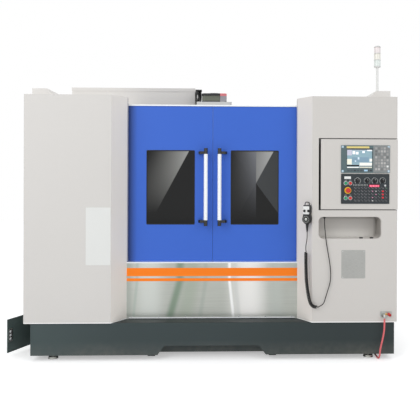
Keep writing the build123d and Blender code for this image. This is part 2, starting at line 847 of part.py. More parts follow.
# Levelling feet: pad, stud and nut, one solid each
with BuildPart() as levelling_feet:
    spots = [(x, y) for x in (-BED_FOOT_X, BED_FOOT_X) for y in BED_FOOT_YS]
    for x in (-CORNER_FOOT_X, CORNER_FOOT_X):
        spots += [(x, FRONT_Y + CORNER_FOOT_FRONT), (x, CORNER_FOOT_BACK_Y)]
    with BuildSketch(Plane.XY) as pads:
        with Locations(*spots):
            Circle(FOOT_R)
    extrude(amount=FOOT_PAD, taper=12)
    with BuildSketch(Plane.XY.offset(FOOT_PAD)):
        with Locations(*spots):
            Circle(FOOT_STUD_R)
    extrude(amount=FOOT_TOP - FOOT_PAD)
    with BuildSketch(Plane.XY.offset(FOOT_TOP - FOOT_NUT)):
        with Locations(*spots):
            RegularPolygon(FOOT_NUT_R, 6)
    extrude(amount=FOOT_NUT)
save(levelling_feet, "levelling_feet")

# Coolant tank on two skids, behind the notch of the base
TANK_Y = FRONT_Y + TANK_IN
with BuildPart() as coolant_tank:
    block((-TANK_HALF, TANK_HALF), (TANK_Y, TANK_Y + TANK_LENGTH), (TANK_BOTTOM, TANK_TOP))
    fillet(coolant_tank.edges().filter_by(Axis.Z), 14)
    offset(
        amount=-TANK_WALL,
        openings=coolant_tank.faces().sort_by(Axis.Z)[-1],
        kind=Kind.INTERSECTION,
    )
    for side in (-1, 1):
        block(
            (side * SKID_HALF_SPAN - SKID_WIDTH / 2, side * SKID_HALF_SPAN + SKID_WIDTH / 2),
            (TANK_Y + 20, TANK_Y + TANK_LENGTH - 20),
            (0, TANK_BOTTOM),
        )
save(coolant_tank, "coolant_tank")

# Bed casting
with BuildPart() as bed:
    with BuildSketch(at_y(BED_FRONT_Y)):
        with BuildLine():
            Polyline(
                (0, FOOT_TOP),
                (BED_HALF, FOOT_TOP),
                (BED_HALF, BED_SHOULDER),
                (BED_WAY_OUT, BED_TOP - 40),
                (BED_WAY_OUT, BED_TOP),
                (BED_WAY_IN, BED_TOP),
                (BED_WAY_IN, BED_TOP - 40),
                (TROUGH_HALF, BED_TOP - 60),
                (TROUGH_HALF, TROUGH_FLOOR),
                (0, TROUGH_FLOOR),
                close=True,
            )
        make_face()
        mirror(about=Plane.YZ)
    extrude(amount=-(BED_BACK_Y - BED_FRONT_Y))
    block(
        (-COLUMN_SEAT_HALF, COLUMN_SEAT_HALF),
        (COLUMN_FRONT_Y - 8, BED_BACK_Y),
        (TROUGH_FLOOR, COLUMN_SEAT_TOP),
    )
    # Cored pockets in both flanks
    pocket_z = (FOOT_TOP + BED_SHOULDER) / 2
    pocket_w = (BED_BACK_Y - BED_FRONT_Y) / 4 - 70
    for side in (-1, 1):
        with BuildSketch(Plane.YZ.offset(side * BED_HALF)):
            for n in range(4):
                middle = BED_FRONT_Y + (n + 0.5) * (BED_BACK_Y - BED_FRONT_Y) / 4
                with Locations((middle, pocket_z)):
                    RectangleRounded(pocket_w, BED_SHOULDER - FOOT_TOP - 140, BED_POCKET_R)
        extrude(amount=-side * 120, mode=Mode.SUBTRACT)
    # Bearing block of the Y screw at the front of the trough
    block(
        (-TROUGH_HALF, TROUGH_HALF),
        (BED_FRONT_Y, BED_FRONT_Y + BEARING_LEN),
        (TROUGH_FLOOR, Y_SCREW_Z + NUT_HALF),
    )
    with BuildSketch(at_y(BED_FRONT_Y)):
        with Locations((0, Y_SCREW_Z)):
            Circle(SCREW_END_R + RUNNING)
    extrude(amount=-BEARING_LEN, mode=Mode.SUBTRACT)
save(bed, "bed")

# Column casting: tapering in depth, with the screw channel in front and cored windows behind
with BuildPart() as column:
    with BuildSketch(Plane.YZ):
        with BuildLine():
            Polyline(
                (COLUMN_FRONT_Y, COLUMN_SEAT_TOP),
                (COLUMN_BACK_LOW_Y, COLUMN_SEAT_TOP),
                (COLUMN_BACK_TOP_Y, COLUMN_TOP),
                (COLUMN_FRONT_Y, COLUMN_TOP),
                close=True,
            )
        make_face()
    extrude(amount=COLUMN_HALF, both=True)
    block(
        (-CHANNEL_HALF, CHANNEL_HALF),
        (COLUMN_FRONT_Y, COLUMN_FRONT_Y + CHANNEL_DEPTH),
        (CHANNEL_LOW, COLUMN_TOP),
        mode=Mode.SUBTRACT,
    )
    with BuildSketch(at_y(COLUMN_BACK_LOW_Y)):
        core_h = (COLUMN_TOP - COLUMN_SEAT_TOP - 4 * CORE_MARGIN) / 3
        for n in range(3):
            z = COLUMN_SEAT_TOP + CORE_MARGIN + core_h / 2 + n * (core_h + CORE_MARGIN)
            with Locations((0, z)):
                RectangleRounded(2 * (COLUMN_HALF - CORE_MARGIN), core_h, 50)
    extrude(amount=CORE_DEPTH + COLUMN_BACK_LOW_Y - COLUMN_BACK_TOP_Y, mode=Mode.SUBTRACT)
    # Bearing blocks of the Z screw at both ends of the channel
    for low in (CHANNEL_LOW, COLUMN_TOP - BEARING_LEN):
        block(
            (-CHANNEL_HALF, CHANNEL_HALF),
            (COLUMN_FRONT_Y, COLUMN_FRONT_Y + CHANNEL_DEPTH),
            (low, low + BEARING_LEN),
        )
        with BuildSketch(Plane.XY.offset(low)):
            with Locations((0, Z_SCREW_Y)):
                Circle(SCREW_END_R + RUNNING)
        extrude(amount=BEARING_LEN, mode=Mode.SUBTRACT)
save(column, "column")

# Guide rails of the Y and Z axes
with BuildPart() as guide_rails:
    for side in (-1, 1):
        y_seat = Plane(
            origin=(side * Y_RAIL_X, BED_FRONT_Y + 5, BED_TOP), x_dir=(1, 0, 0), z_dir=(0, -1, 0)
        )
        guide_rail(y_seat, -(BULKHEAD_Y - 20 - BED_FRONT_Y))
        z_seat = Plane(
            origin=(side * Z_RAIL_X, COLUMN_FRONT_Y, Z_RAIL_LOW), x_dir=(-1, 0, 0), z_dir=(0, 0, 1)
        )
        guide_rail(z_seat, Z_RAIL_HIGH - Z_RAIL_LOW)
save(guide_rails, "guide_rails")

# Servo motors of the Y and Z axes
with BuildPart() as axis_motors:
    servo_motor(Plane(origin=(0, BED_FRONT_Y, Y_SCREW_Z), x_dir=(1, 0, 0), z_dir=(0, -1, 0)))
    servo_motor(Plane.XY.offset(COLUMN_TOP).shift_origin((0, Z_SCREW_Y, COLUMN_TOP)))
save(axis_motors, "axis_motors")


def carriage(along_x, x, y, seat, top):
    """A guide carriage with a slot over its rail, from its skirt up to the piece it carries."""
    long_x = CARRIAGE_LEN if along_x else CARRIAGE_W
    long_y = CARRIAGE_W if along_x else CARRIAGE_LEN
    block(
        (x - long_x / 2, x + long_x / 2),
        (y - long_y / 2, y + long_y / 2),
        (seat + CARRIAGE_LIFT, top),
    )
    slot = RAIL_W / 2 + CARRIAGE_GAP
    half_x = long_x / 2 + 1 if along_x else slot
    half_y = slot if along_x else long_y / 2 + 1
    block(
        (x - half_x, x + half_x),
        (y - half_y, y + half_y),
        (seat, seat + RAIL_H + CARRIAGE_GAP),
        mode=Mode.SUBTRACT,
    )


# Saddle: rides on the Y rails and carries the X rails, with the X screw in its trough
with BuildPart() as saddle:
    with BuildSketch(Plane.YZ):
        with BuildLine():
            half = SADDLE_WIDTH / 2
            Polyline(
                (SPINDLE_Y - half, SADDLE_BOTTOM + 40),
                (SPINDLE_Y - half + 40, SADDLE_BOTTOM),
                (SPINDLE_Y + half - 40, SADDLE_BOTTOM),
                (SPINDLE_Y + half, SADDLE_BOTTOM + 40),
                (SPINDLE_Y + half, SADDLE_TOP),
                (SPINDLE_Y + SADDLE_TROUGH_HALF, SADDLE_TOP),
                (SPINDLE_Y + SADDLE_TROUGH_HALF, SADDLE_TOP - SADDLE_TROUGH),
                (SPINDLE_Y - SADDLE_TROUGH_HALF, SADDLE_TOP - SADDLE_TROUGH),
                (SPINDLE_Y - SADDLE_TROUGH_HALF, SADDLE_TOP),
                (SPINDLE_Y - half, SADDLE_TOP),
                close=True,
            )
        make_face()
    extrude(amount=SADDLE_HALF, both=True)
    for x in (-Y_RAIL_X, Y_RAIL_X):
        for y in (SPINDLE_Y - Y_CARRIAGE_OFF, SPINDLE_Y + Y_CARRIAGE_OFF):
            carriage(False, x, y, BED_TOP, SADDLE_BOTTOM + 45)
    # Nut bracket of the Y screw
    block(
        (-NUT_HALF, NUT_HALF),
        (SPINDLE_Y - NUT_LEN / 2, SPINDLE_Y + NUT_LEN / 2),
        (Y_SCREW_Z - NUT_HALF, SADDLE_BOTTOM + 20),
    )
    with BuildSketch(at_y(SPINDLE_Y - NUT_LEN / 2)):
        with Locations((0, Y_SCREW_Z)):
            Circle(SCREW_R + RUNNING)
    extrude(amount=-NUT_LEN, mode=Mode.SUBTRACT)
    # Bearing blocks of the X screw
    for low in (-SADDLE_HALF, SADDLE_HALF - BEARING_LEN):
        block(
            (low, low + BEARING_LEN),
            (SPINDLE_Y - SADDLE_TROUGH_HALF, SPINDLE_Y + SADDLE_TROUGH_HALF),
            (SADDLE_TOP - SADDLE_TROUGH, X_SCREW_Z + NUT_HALF),
        )
        with BuildSketch(Plane.YZ.offset(low)):
            with Locations((SPINDLE_Y, X_SCREW_Z)):
                Circle(SCREW_END_R + RUNNING)
        extrude(amount=BEARING_LEN, mode=Mode.SUBTRACT)
    # X rails, fused to their carrier
    for y in (SPINDLE_Y - X_RAIL_OFF, SPINDLE_Y + X_RAIL_OFF):
        rail_plane = Plane(origin=(-SADDLE_HALF, y, SADDLE_TOP), x_dir=(0, 1, 0), z_dir=(1, 0, 0))
        guide_rail(rail_plane, 2 * SADDLE_HALF)
save(saddle, "saddle")

with BuildPart() as x_motor:
    servo_motor(Plane(origin=(SADDLE_HALF, SPINDLE_Y, X_SCREW_Z), x_dir=(0, 1, 0), z_dir=(1, 0, 0)))
save(x_motor, "x_motor")

# Table with T-slots, carriages and the nut bracket of the X screw
with BuildPart() as table:
    with BuildSketch(Plane.YZ) as table_section:
        with Locations((SPINDLE_Y, TABLE_TOP - TABLE_THICK / 2)):
            Rectangle(TABLE_WIDTH, TABLE_THICK)
        with GridLocations(T_PITCH, 0, T_SLOTS, 1):
            with Locations((SPINDLE_Y, TABLE_TOP - T_NECK_DEPTH / 2)):
                Rectangle(T_NECK, T_NECK_DEPTH, mode=Mode.SUBTRACT)
            with Locations((SPINDLE_Y, TABLE_TOP - T_NECK_DEPTH - T_HEAD_DEPTH / 2)):
                Rectangle(T_HEAD, T_HEAD_DEPTH, mode=Mode.SUBTRACT)
        low_corners = table_section.vertices().group_by(Axis.Y)[0]
        chamfer(low_corners, 30)
    extrude(amount=TABLE_LENGTH / 2, both=True)
    for x in (-X_CARRIAGE_OFF, X_CARRIAGE_OFF):
        for y in (SPINDLE_Y - X_RAIL_OFF, SPINDLE_Y + X_RAIL_OFF):
            carriage(True, x, y, SADDLE_TOP, TABLE_BOTTOM + 5)
    block(
        (-NUT_LEN / 2, NUT_LEN / 2),
        (SPINDLE_Y - NUT_HALF, SPINDLE_Y + NUT_HALF),
        (X_SCREW_Z - NUT_HALF, TABLE_BOTTOM + 5),
    )
    with BuildSketch(Plane.YZ.offset(-NUT_LEN / 2)):
        with Locations((SPINDLE_Y, X_SCREW_Z)):
            Circle(SCREW_R + RUNNING)
    extrude(amount=NUT_LEN, mode=Mode.SUBTRACT)
save(table, "table")


# Ball screws: a shaft with journals in the bearing blocks
def ball_screw(plane, length):
    """A screw along the plane's normal, with a bearing block around each of its end journals."""
    with BuildSketch(plane) as journal:
        Circle(SCREW_END_R)
    extrude(journal.sketch, amount=length)
    with BuildSketch(plane.offset(BEARING_LEN + SEAT)) as shaft:
        Circle(SCREW_R)
    extrude(shaft.sketch, amount=length - 2 * (BEARING_LEN + SEAT))


with BuildPart() as y_screw:
    ball_screw(
        Plane(origin=(0, BED_FRONT_Y, Y_SCREW_Z), x_dir=(1, 0, 0), z_dir=(0, 1, 0)),
        BULKHEAD_Y - BED_FRONT_Y,
    )
save(y_screw, "y_screw")

with BuildPart() as x_screw:
    ball_screw(
        Plane(origin=(-SADDLE_HALF, SPINDLE_Y, X_SCREW_Z), x_dir=(0, 1, 0), z_dir=(1, 0, 0)),
        2 * SADDLE_HALF,
    )
save(x_screw, "x_screw")

with BuildPart() as z_screw:
    ball_screw(
        Plane(origin=(0, Z_SCREW_Y, CHANNEL_LOW), x_dir=(1, 0, 0), z_dir=(0, 0, 1)),
        COLUMN_TOP - CHANNEL_LOW,
    )
save(z_screw, "z_screw")

# Spindle head: slide plate, overhanging casting with the motor well, quill and bore
with BuildPart() as spindle_head:
    with BuildSketch(Plane.YZ):
        with BuildLine():
            Polyline(
                (SLIDE_FACE_Y - SLIDE_THICK, SLIDE_LOW),
                (SLIDE_FACE_Y - SLIDE_THICK, HEAD_TOP - 60),
                (SLIDE_FACE_Y - SLIDE_THICK - 120, HEAD_TOP),
                (HEAD_FRONT_Y, HEAD_TOP),
                (HEAD_FRONT_Y, HEAD_BOTTOM + 90),
                (HEAD_FRONT_Y + 50, HEAD_BOTTOM),
                (SPINDLE_Y + QUILL_R + 60, HEAD_BOTTOM),
                close=True,
            )
        make_face()
    extrude(amount=HEAD_HALF, both=True)
    block(
        (-SLIDE_HALF, SLIDE_HALF),
        (SLIDE_FACE_Y - SLIDE_THICK, SLIDE_FACE_Y),
        (SLIDE_LOW, SLIDE_HIGH),
    )
    fillet(spindle_head.faces().sort_by(Axis.Y)[0].edges().filter_by(Axis.Z), 18)
    with BuildSketch(Plane.XY.offset(QUILL_BOTTOM)):
        with Locations((0, SPINDLE_Y)):
            Circle(QUILL_R)
    extrude(amount=HEAD_BOTTOM - QUILL_BOTTOM + 5)
    with BuildSketch(Plane.XY.offset(QUILL_BOTTOM)):
        with Locations((0, SPINDLE_Y)):
            Circle(SPINDLE_R + RUNNING)
    extrude(amount=SPINDLE_TOP + SEAT - QUILL_BOTTOM, mode=Mode.SUBTRACT)
    well = SPINDLE_MOTOR_HALF + WELL_GAP
    block(
        (-well, well),
        (SPINDLE_Y - well, SPINDLE_Y + well),
        (HEAD_TOP - MOTOR_WELL, HEAD_TOP),
        mode=Mode.SUBTRACT,
    )
    # Carriages on the Z rails
    for x in (-Z_RAIL_X, Z_RAIL_X):
        for low in (Z_CARRIAGE_LOW, Z_CARRIAGE_HIGH):
            block(
                (x - CARRIAGE_W / 2, x + CARRIAGE_W / 2),
                (SLIDE_FACE_Y, COLUMN_FRONT_Y - CARRIAGE_LIFT),
                (low, low + CARRIAGE_LEN),
            )
            slot = RAIL_W / 2 + CARRIAGE_GAP
            block(
                (x - slot, x + slot),
                (COLUMN_FRONT_Y - RAIL_H - CARRIAGE_GAP, COLUMN_FRONT_Y),
                (low, low + CARRIAGE_LEN),
                mode=Mode.SUBTRACT,
            )
    # Nut bracket of the Z screw
    nut_z = (SLIDE_LOW + SLIDE_HIGH) / 2
    block(
        (-NUT_HALF, NUT_HALF),
        (SLIDE_FACE_Y, Z_SCREW_Y + NUT_HALF),
        (nut_z - NUT_LEN / 2, nut_z + NUT_LEN / 2),
    )
    with BuildSketch(Plane.XY.offset(nut_z - NUT_LEN / 2)):
        with Locations((0, Z_SCREW_Y)):
            Circle(SCREW_R + RUNNING)
    extrude(amount=NUT_LEN, mode=Mode.SUBTRACT)
save(spindle_head, "spindle_head")

# Spindle motor in the head's well: finned body, dark bands and a terminal box
with BuildPart() as spindle_motor:
    motor_low = HEAD_TOP - MOTOR_WELL
    body = 2 * SPINDLE_MOTOR_HALF
    with BuildSketch(Plane.XY.offset(motor_low)):
        with Locations((0, SPINDLE_Y)):
            RectangleRounded(body, body, 24)
    extrude(amount=SPINDLE_MOTOR_TOP - motor_low)
    fillet(spindle_motor.faces().sort_by(Axis.Z)[-1].edges(), 6)
    fin_low = HEAD_TOP + 14
    fin_high = SPINDLE_MOTOR_TOP - SPINDLE_MOTOR_CAP
    with BuildSketch(Plane.XY.offset(fin_low)):
        with Locations((0, SPINDLE_Y)):
            RectangleRounded(body + 10, body + 10, 24)
            RectangleRounded(body - 16, body - 16, 18, mode=Mode.SUBTRACT)
    extrude(amount=fin_high - fin_low, mode=Mode.SUBTRACT)
    with BuildSketch(Plane.XY.offset(fin_low)):
        with Locations((0, SPINDLE_Y)):
            with GridLocations(22, 0, 9, 1):
                Rectangle(8, body - 4)
            with GridLocations(0, 22, 1, 9):
                Rectangle(body - 4, 8)
    extrude(amount=fin_high - fin_low)
    block(
        (SPINDLE_MOTOR_HALF - 62, SPINDLE_MOTOR_HALF),
        (SPINDLE_Y - SPINDLE_MOTOR_HALF - 4, SPINDLE_Y - SPINDLE_MOTOR_HALF + 60),
        (fin_low, SPINDLE_MOTOR_TOP - 4),
    )
save(spindle_motor, "spindle_motor")

# Cable bracket on the head's left flank: upright plate, top flange and diagonal strut
with BuildPart() as cable_bracket:
    with BuildSketch(at_y(SPINDLE_Y - 110)):
        with BuildLine():
            left = -HEAD_HALF - BRACKET_T
            inner = left + BRACKET_REACH
            Polyline(
                (left, HEAD_TOP - 220),
                (left, BRACKET_TOP),
                (inner, BRACKET_TOP),
                (inner, BRACKET_TOP - BRACKET_T),
                (-HEAD_HALF, BRACKET_TOP - BRACKET_T),
                (-HEAD_HALF, HEAD_TOP - 220),
                close=True,
            )
        make_face()
        with BuildLine():
            Polyline(
                (-HEAD_HALF - 2, BRACKET_TOP - 30),
                (inner - 14, HEAD_TOP),
                (inner, HEAD_TOP),
                (-HEAD_HALF - 2, BRACKET_TOP - 8),
                close=True,
            )
        make_face()
    extrude(amount=-70)
save(cable_bracket, "cable_bracket")

# Spindle with its 7/24 taper socket
with BuildPart() as spindle:
    with BuildSketch(Plane.YZ):
        with BuildLine():
            small = TAPER_R - TAPER_LEN * TAPER_SLOPE
            Polyline(
                (TAPER_R, NOSE_Z),
                (SPINDLE_FLANGE_R - 4, NOSE_Z),
                (SPINDLE_FLANGE_R, NOSE_Z + 4),
                (SPINDLE_FLANGE_R, QUILL_BOTTOM - SEAT),
                (SPINDLE_R, QUILL_BOTTOM - SEAT),
                (SPINDLE_R, SPINDLE_TOP),
                (DRAWBAR_R, SPINDLE_TOP),
                (DRAWBAR_R, NOSE_Z + TAPER_LEN),
                (small, NOSE_Z + TAPER_LEN),
                close=True,
            )
        make_face()
    revolve(axis=Axis.Z)
spindle.part = spindle.part.moved(Location((0, SPINDLE_Y, 0)))
save(spindle, "spindle")

# Tool disc and its gripper claws
with BuildPart() as tool_disc:
    with BuildSketch(Plane.XY.offset(DISC_Z)):
        with Locations((DISC_X, DISC_Y)):
            Circle(DISC_R)
            with PolarLocations(DISC_R * 0.6, 8, start_angle=22.5):
                Circle(34, mode=Mode.SUBTRACT)
    extrude(amount=DISC_T)
    with BuildSketch(Plane.XY.offset(DISC_Z - HUB_H / 2)):
        with Locations((DISC_X, DISC_Y)):
            Circle(HUB_R)
    extrude(amount=HUB_H)
    with BuildSketch(Plane.XY.offset(DISC_Z - HUB_H / 2)):
        with Locations((DISC_X, DISC_Y)):
            Circle(SHAFT_R + RUNNING)
    extrude(amount=HUB_H, mode=Mode.SUBTRACT)
save(tool_disc, "tool_disc")

with BuildPart() as gripper_claws:
    with BuildSketch(Plane.XY.offset(DISC_Z + DISC_T)):
        with Locations((DISC_X, DISC_Y)):
            with PolarLocations(POCKET_CIRCLE, POCKETS):
                Circle(CLAW_OUTER_R)
                with Locations((CLAW_PRONG / 2, 0)):
                    Rectangle(CLAW_PRONG, 2 * CLAW_OUTER_R - 6)
                with Locations((-CLAW_OUTER_R - 14, 0)):
                    Rectangle(52, 30)
            with PolarLocations(POCKET_CIRCLE, POCKETS):
                Circle(CLAW_INNER_R, mode=Mode.SUBTRACT)
                with Locations((CLAW_OUTER_R, 0)):
                    Rectangle(2 * CLAW_OUTER_R, 2 * CLAW_INNER_R - 6, mode=Mode.SUBTRACT)
    extrude(amount=CLAW_T)
save(gripper_claws, "gripper_claws")

# Magazine bracket: flange on the column's flank, arm, shaft and index motor
with BuildPart() as magazine_bracket:
    flange_y = (COLUMN_FRONT_Y + 30, COLUMN_FRONT_Y + 30 + ARM_FLANGE)
    block((-COLUMN_HALF - 24, -COLUMN_HALF), flange_y, (ARM_Z - ARM_FOOT, ARM_Z + ARM_BACK))
    with BuildSketch(Plane.XY.offset(ARM_Z)):
        with BuildLine():
            Polyline(
                (-COLUMN_HALF, flange_y[0]),
                (-COLUMN_HALF, flange_y[1]),
                (DISC_X, DISC_Y + 130),
                (DISC_X, DISC_Y - 130),
                close=True,
            )
        make_face()
        with Locations((DISC_X, DISC_Y)):
            Circle(130)
    extrude(amount=ARM_T)
    with BuildSketch(Plane.XY.offset(ARM_Z)):
        with Locations((DISC_X, DISC_Y)):
            Circle(SHAFT_R)
    extrude(amount=-(ARM_Z - DISC_Z + HUB_H / 2 + 1))
    with BuildSketch(Plane.XY.offset(DISC_Z - HUB_H / 2 - SEAT)):
        with Locations((DISC_X, DISC_Y)):
            Circle(HUB_R - 12)
    extrude(amount=-14)
    with BuildSketch(Plane.XY.offset(ARM_Z + ARM_T)):
        with Locations((DISC_X, DISC_Y)):
            RectangleRounded(170, 170, 20)
    extrude(amount=70)
    with BuildSketch(Plane.XY.offset(ARM_Z + ARM_T + 70)):
        with Locations((DISC_X, DISC_Y)):
            Circle(62)
    extrude(amount=150)
    # Gusset between flange and arm
    with BuildSketch(at_y(flange_y[1])):
        with BuildLine():
            Polyline(
                (-COLUMN_HALF - 20, ARM_Z + ARM_T),
                (-COLUMN_HALF - 20, ARM_Z + 220),
                (-COLUMN_HALF - 110, ARM_Z + ARM_T),
                close=True,
            )
        make_face()
    extrude(amount=20)
save(magazine_bracket, "magazine_bracket")

# Magazine cover: a sheet box on the bulkhead, open below and towards the spindle
with BuildPart() as magazine_cover:
    block((MAG_LEFT, MAG_RIGHT), (MAG_FRONT_Y, MAG_BACK_Y), (MAG_BOTTOM, MAG_TOP))
    offset(
        amount=-SHEET,
        openings=[
            magazine_cover.faces().sort_by(Axis.Z)[0],
            magazine_cover.faces().sort_by(Axis.X)[-1],
        ],
        kind=Kind.INTERSECTION,
    )
    with BuildSketch(Plane.XY.offset(MAG_TOP - MAG_LID)):
        lid_centre = ((MAG_LEFT + MAG_RIGHT) / 2, (MAG_FRONT_Y + MAG_BACK_Y) / 2)
        with Locations(lid_centre):
            Rectangle(
                MAG_RIGHT - MAG_LEFT + 2 * MAG_LID_PROUD,
                MAG_BACK_Y - MAG_FRONT_Y + 2 * MAG_LID_PROUD,
            )
            Rectangle(
                MAG_RIGHT - MAG_LEFT,
                MAG_BACK_Y - MAG_FRONT_Y,
                mode=Mode.SUBTRACT,
            )
    extrude(amount=MAG_LID)
    # Cut-outs in the back wall for the bracket's arm and for the head with its rails
    rail_side = -COLUMN_HALF - BULKHEAD_GAP
    for x_span, z_span in (
        ((DISC_X + 190, rail_side), (ARM_Z - 6, ARM_Z + ARM_T + 6)),
        ((rail_side, MAG_RIGHT), (MAG_BOTTOM, COLUMN_TOP + 40)),
    ):
        block(x_span, (MAG_BACK_Y - SHEET, MAG_BACK_Y), z_span, mode=Mode.SUBTRACT)
save(magazine_cover, "magazine_cover")

# Electrical cabinet with drive modules inside and a heat exchanger on its outer side
with BuildPart() as electrical_cabinet:
    block((CAB_LEFT, CAB_RIGHT), (CAB_FRONT_Y, CAB_BACK_Y), (BASE_TOP, CAB_TOP))
    offset(
        amount=-SHEET,
        openings=electrical_cabinet.faces().sort_by(Axis.Y)[-1],
        kind=Kind.INTERSECTION,
    )
    back = CAB_FRONT_Y + SHEET
    with BuildSketch(at_y(back)):
        with Locations(((CAB_LEFT + CAB_RIGHT) / 2 - 150, CAB_TOP - 420)):
            with GridLocations(78, 0, 4, 1):
                Rectangle(70, 380)
        with Locations(((CAB_LEFT + CAB_RIGHT) / 2 + 190, CAB_TOP - 420)):
            RectangleRounded(180, 300, 12)
        with Locations(((CAB_LEFT + CAB_RIGHT) / 2, CAB_TOP - 860)):
            with GridLocations(0, 150, 1, 2):
                Rectangle(620, 60)
        with Locations(((CAB_LEFT + CAB_RIGHT) / 2, BASE_TOP + 330)):
            RectangleRounded(420, 260, 16)
    extrude(amount=-180)
    block(
        (CAB_RIGHT, CAB_RIGHT + COOLER_OUT),
        (CAB_FRONT_Y + COOLER_MARGIN, CAB_BACK_Y - COOLER_MARGIN),
        (COOLER_LOW, COOLER_HIGH),
    )
    fillet(electrical_cabinet.faces().sort_by(Axis.X)[-1].edges(), 12)
    # Louvre slots of the heat exchanger
    for low in (COOLER_LOW + 70, COOLER_HIGH - 230):
        with BuildSketch(Plane.YZ.offset(CAB_RIGHT + COOLER_OUT)):
            with Locations(((CAB_FRONT_Y + CAB_BACK_Y) / 2, low + 80)):
                with GridLocations(0, 32, 1, 6):
                    SlotOverall(200, 14)
        extrude(amount=-20, mode=Mode.SUBTRACT)
    # Door pin with its two lugs
    cab_pin = (CAB_RIGHT + CAB_BARREL_R - 2, CAB_BACK_Y + CAB_DOOR_GAP + CAB_DOOR_T / 2)
    for low in CAB_LUG_Z:
        block(
            (CAB_RIGHT - SHEET, cab_pin[0] + CAB_PIN_R),
            (CAB_BACK_Y - 12, cab_pin[1] + CAB_PIN_R),
            (low, low + CAB_LUG),
        )
    with BuildSketch(Plane.XY.offset(CAB_LUG_Z[0])):
        with Locations(cab_pin):
            Circle(CAB_PIN_R)
    extrude(amount=CAB_LUG_Z[1] + CAB_LUG - CAB_LUG_Z[0])
save(electrical_cabinet, "electrical_cabinet")

with BuildPart() as cabinet_door:
    door_y = (CAB_BACK_Y + CAB_DOOR_GAP, CAB_BACK_Y + CAB_DOOR_GAP + CAB_DOOR_T)
    door_right = CAB_RIGHT - SHEET - 8
    block((CAB_LEFT, door_right), door_y, (BASE_TOP, CAB_TOP))
    block(
        (CAB_LEFT + SHEET, door_right - SHEET),
        (door_y[0], door_y[1] - SHEET),
        (BASE_TOP + SHEET, CAB_TOP - SHEET),
        mode=Mode.SUBTRACT,
    )
    low = CAB_LUG_Z[0] + CAB_LUG + SEAT
    high = CAB_LUG_Z[1] - SEAT
    block((door_right - SHEET, cab_pin[0]), (door_y[1] - SHEET, door_y[1]), (low, high))
    with Locations((*cab_pin, (low + high) / 2)):
        Cylinder(CAB_BARREL_R, high - low)
        Cylinder(CAB_PIN_R + RUNNING, high - low, mode=Mode.SUBTRACT)
save(cabinet_door, "cabinet_door")


# Doors: pans of folded sheet, open behind, each with a window
def door_pan(side):
    """The left door for side -1, the right door for side 1."""
    near = side * SEAM_HALF
    far = side * DOOR_WIDTH
    low_x, high_x = sorted((near, far))
    block((low_x, high_x), (DOOR_Y, DOOR_BACK_Y), (DOOR_BOTTOM, DOOR_TOP))
    block(
        (low_x + SHEET, high_x - SHEET),
        (DOOR_Y + SHEET, DOOR_BACK_Y),
        (DOOR_BOTTOM + SHEET, DOOR_TOP - SHEET),
        mode=Mode.SUBTRACT,
    )
    with BuildSketch(at_y(DOOR_Y)) as window:
        window_x = side * (WINDOW_NEAR + WINDOW_FAR) / 2
        with Locations((window_x, (WINDOW_LOW + WINDOW_HIGH) / 2)):
            RectangleRounded(WINDOW_FAR - WINDOW_NEAR, WINDOW_HIGH - WINDOW_LOW, WINDOW_R)
    extrude(window.sketch, amount=-SHEET, mode=Mode.SUBTRACT)


def window_pane(side):
    """Laminated pane behind the door's front sheet."""
    with BuildSketch(at_y(DOOR_Y + SHEET)) as pane:
        window_x = side * (WINDOW_NEAR + WINDOW_FAR) / 2
        with Locations((window_x, (WINDOW_LOW + WINDOW_HIGH) / 2)):
            RectangleRounded(
                WINDOW_FAR - WINDOW_NEAR + 2 * PANE_LAP,
                WINDOW_HIGH - WINDOW_LOW + 2 * PANE_LAP,
                WINDOW_R + PANE_LAP,
            )
    extrude(pane.sketch, amount=-PANE_THICK)


def door_handle(side):
    """Upright tube on two feet that reach outwards from the seam."""
    with BuildSketch(Plane.XY.offset(HANDLE_LOW)) as tube:
        with Locations((side * HANDLE_X, HANDLE_Y)):
            Circle(HANDLE_R)
    extrude(tube.sketch, amount=HANDLE_HIGH - HANDLE_LOW)
    for low in (
        HANDLE_LOW + HANDLE_FOOT_INSET,
        HANDLE_HIGH - HANDLE_FOOT_INSET - HANDLE_FOOT_H,
    ):
        with BuildSketch(Plane.XY.offset(low)) as foot:
            with BuildLine():
                outer = side * HANDLE_FOOT_X
                step = side * HANDLE_FOOT_T
                Polyline(
                    (side * HANDLE_X, HANDLE_Y - HANDLE_FOOT_T / 2),
                    (outer - step, HANDLE_Y - HANDLE_FOOT_T / 2),
                    (outer, HANDLE_Y + HANDLE_FOOT_T),
                    (outer, DOOR_Y),
                    (outer - 2 * step, DOOR_Y),
                    (outer - 2 * step, HANDLE_Y + HANDLE_FOOT_T / 2),
                    (side * HANDLE_X, HANDLE_Y + HANDLE_FOOT_T / 2),
                    close=True,
                )
            make_face()
        extrude(foot.sketch, amount=HANDLE_FOOT_H)


with BuildPart() as left_door:
    door_pan(-1)
save(left_door, "left_door")
with BuildPart() as right_door:
    door_pan(1)
save(right_door, "right_door")
with BuildPart() as left_window:
    window_pane(-1)
save(left_window, "left_window")
with BuildPart() as right_window:
    window_pane(1)
save(right_window, "right_window")
with BuildPart() as left_handle:
    door_handle(-1)
save(left_handle, "left_handle")
with BuildPart() as right_handle:
    door_handle(1)
save(right_handle, "right_handle")

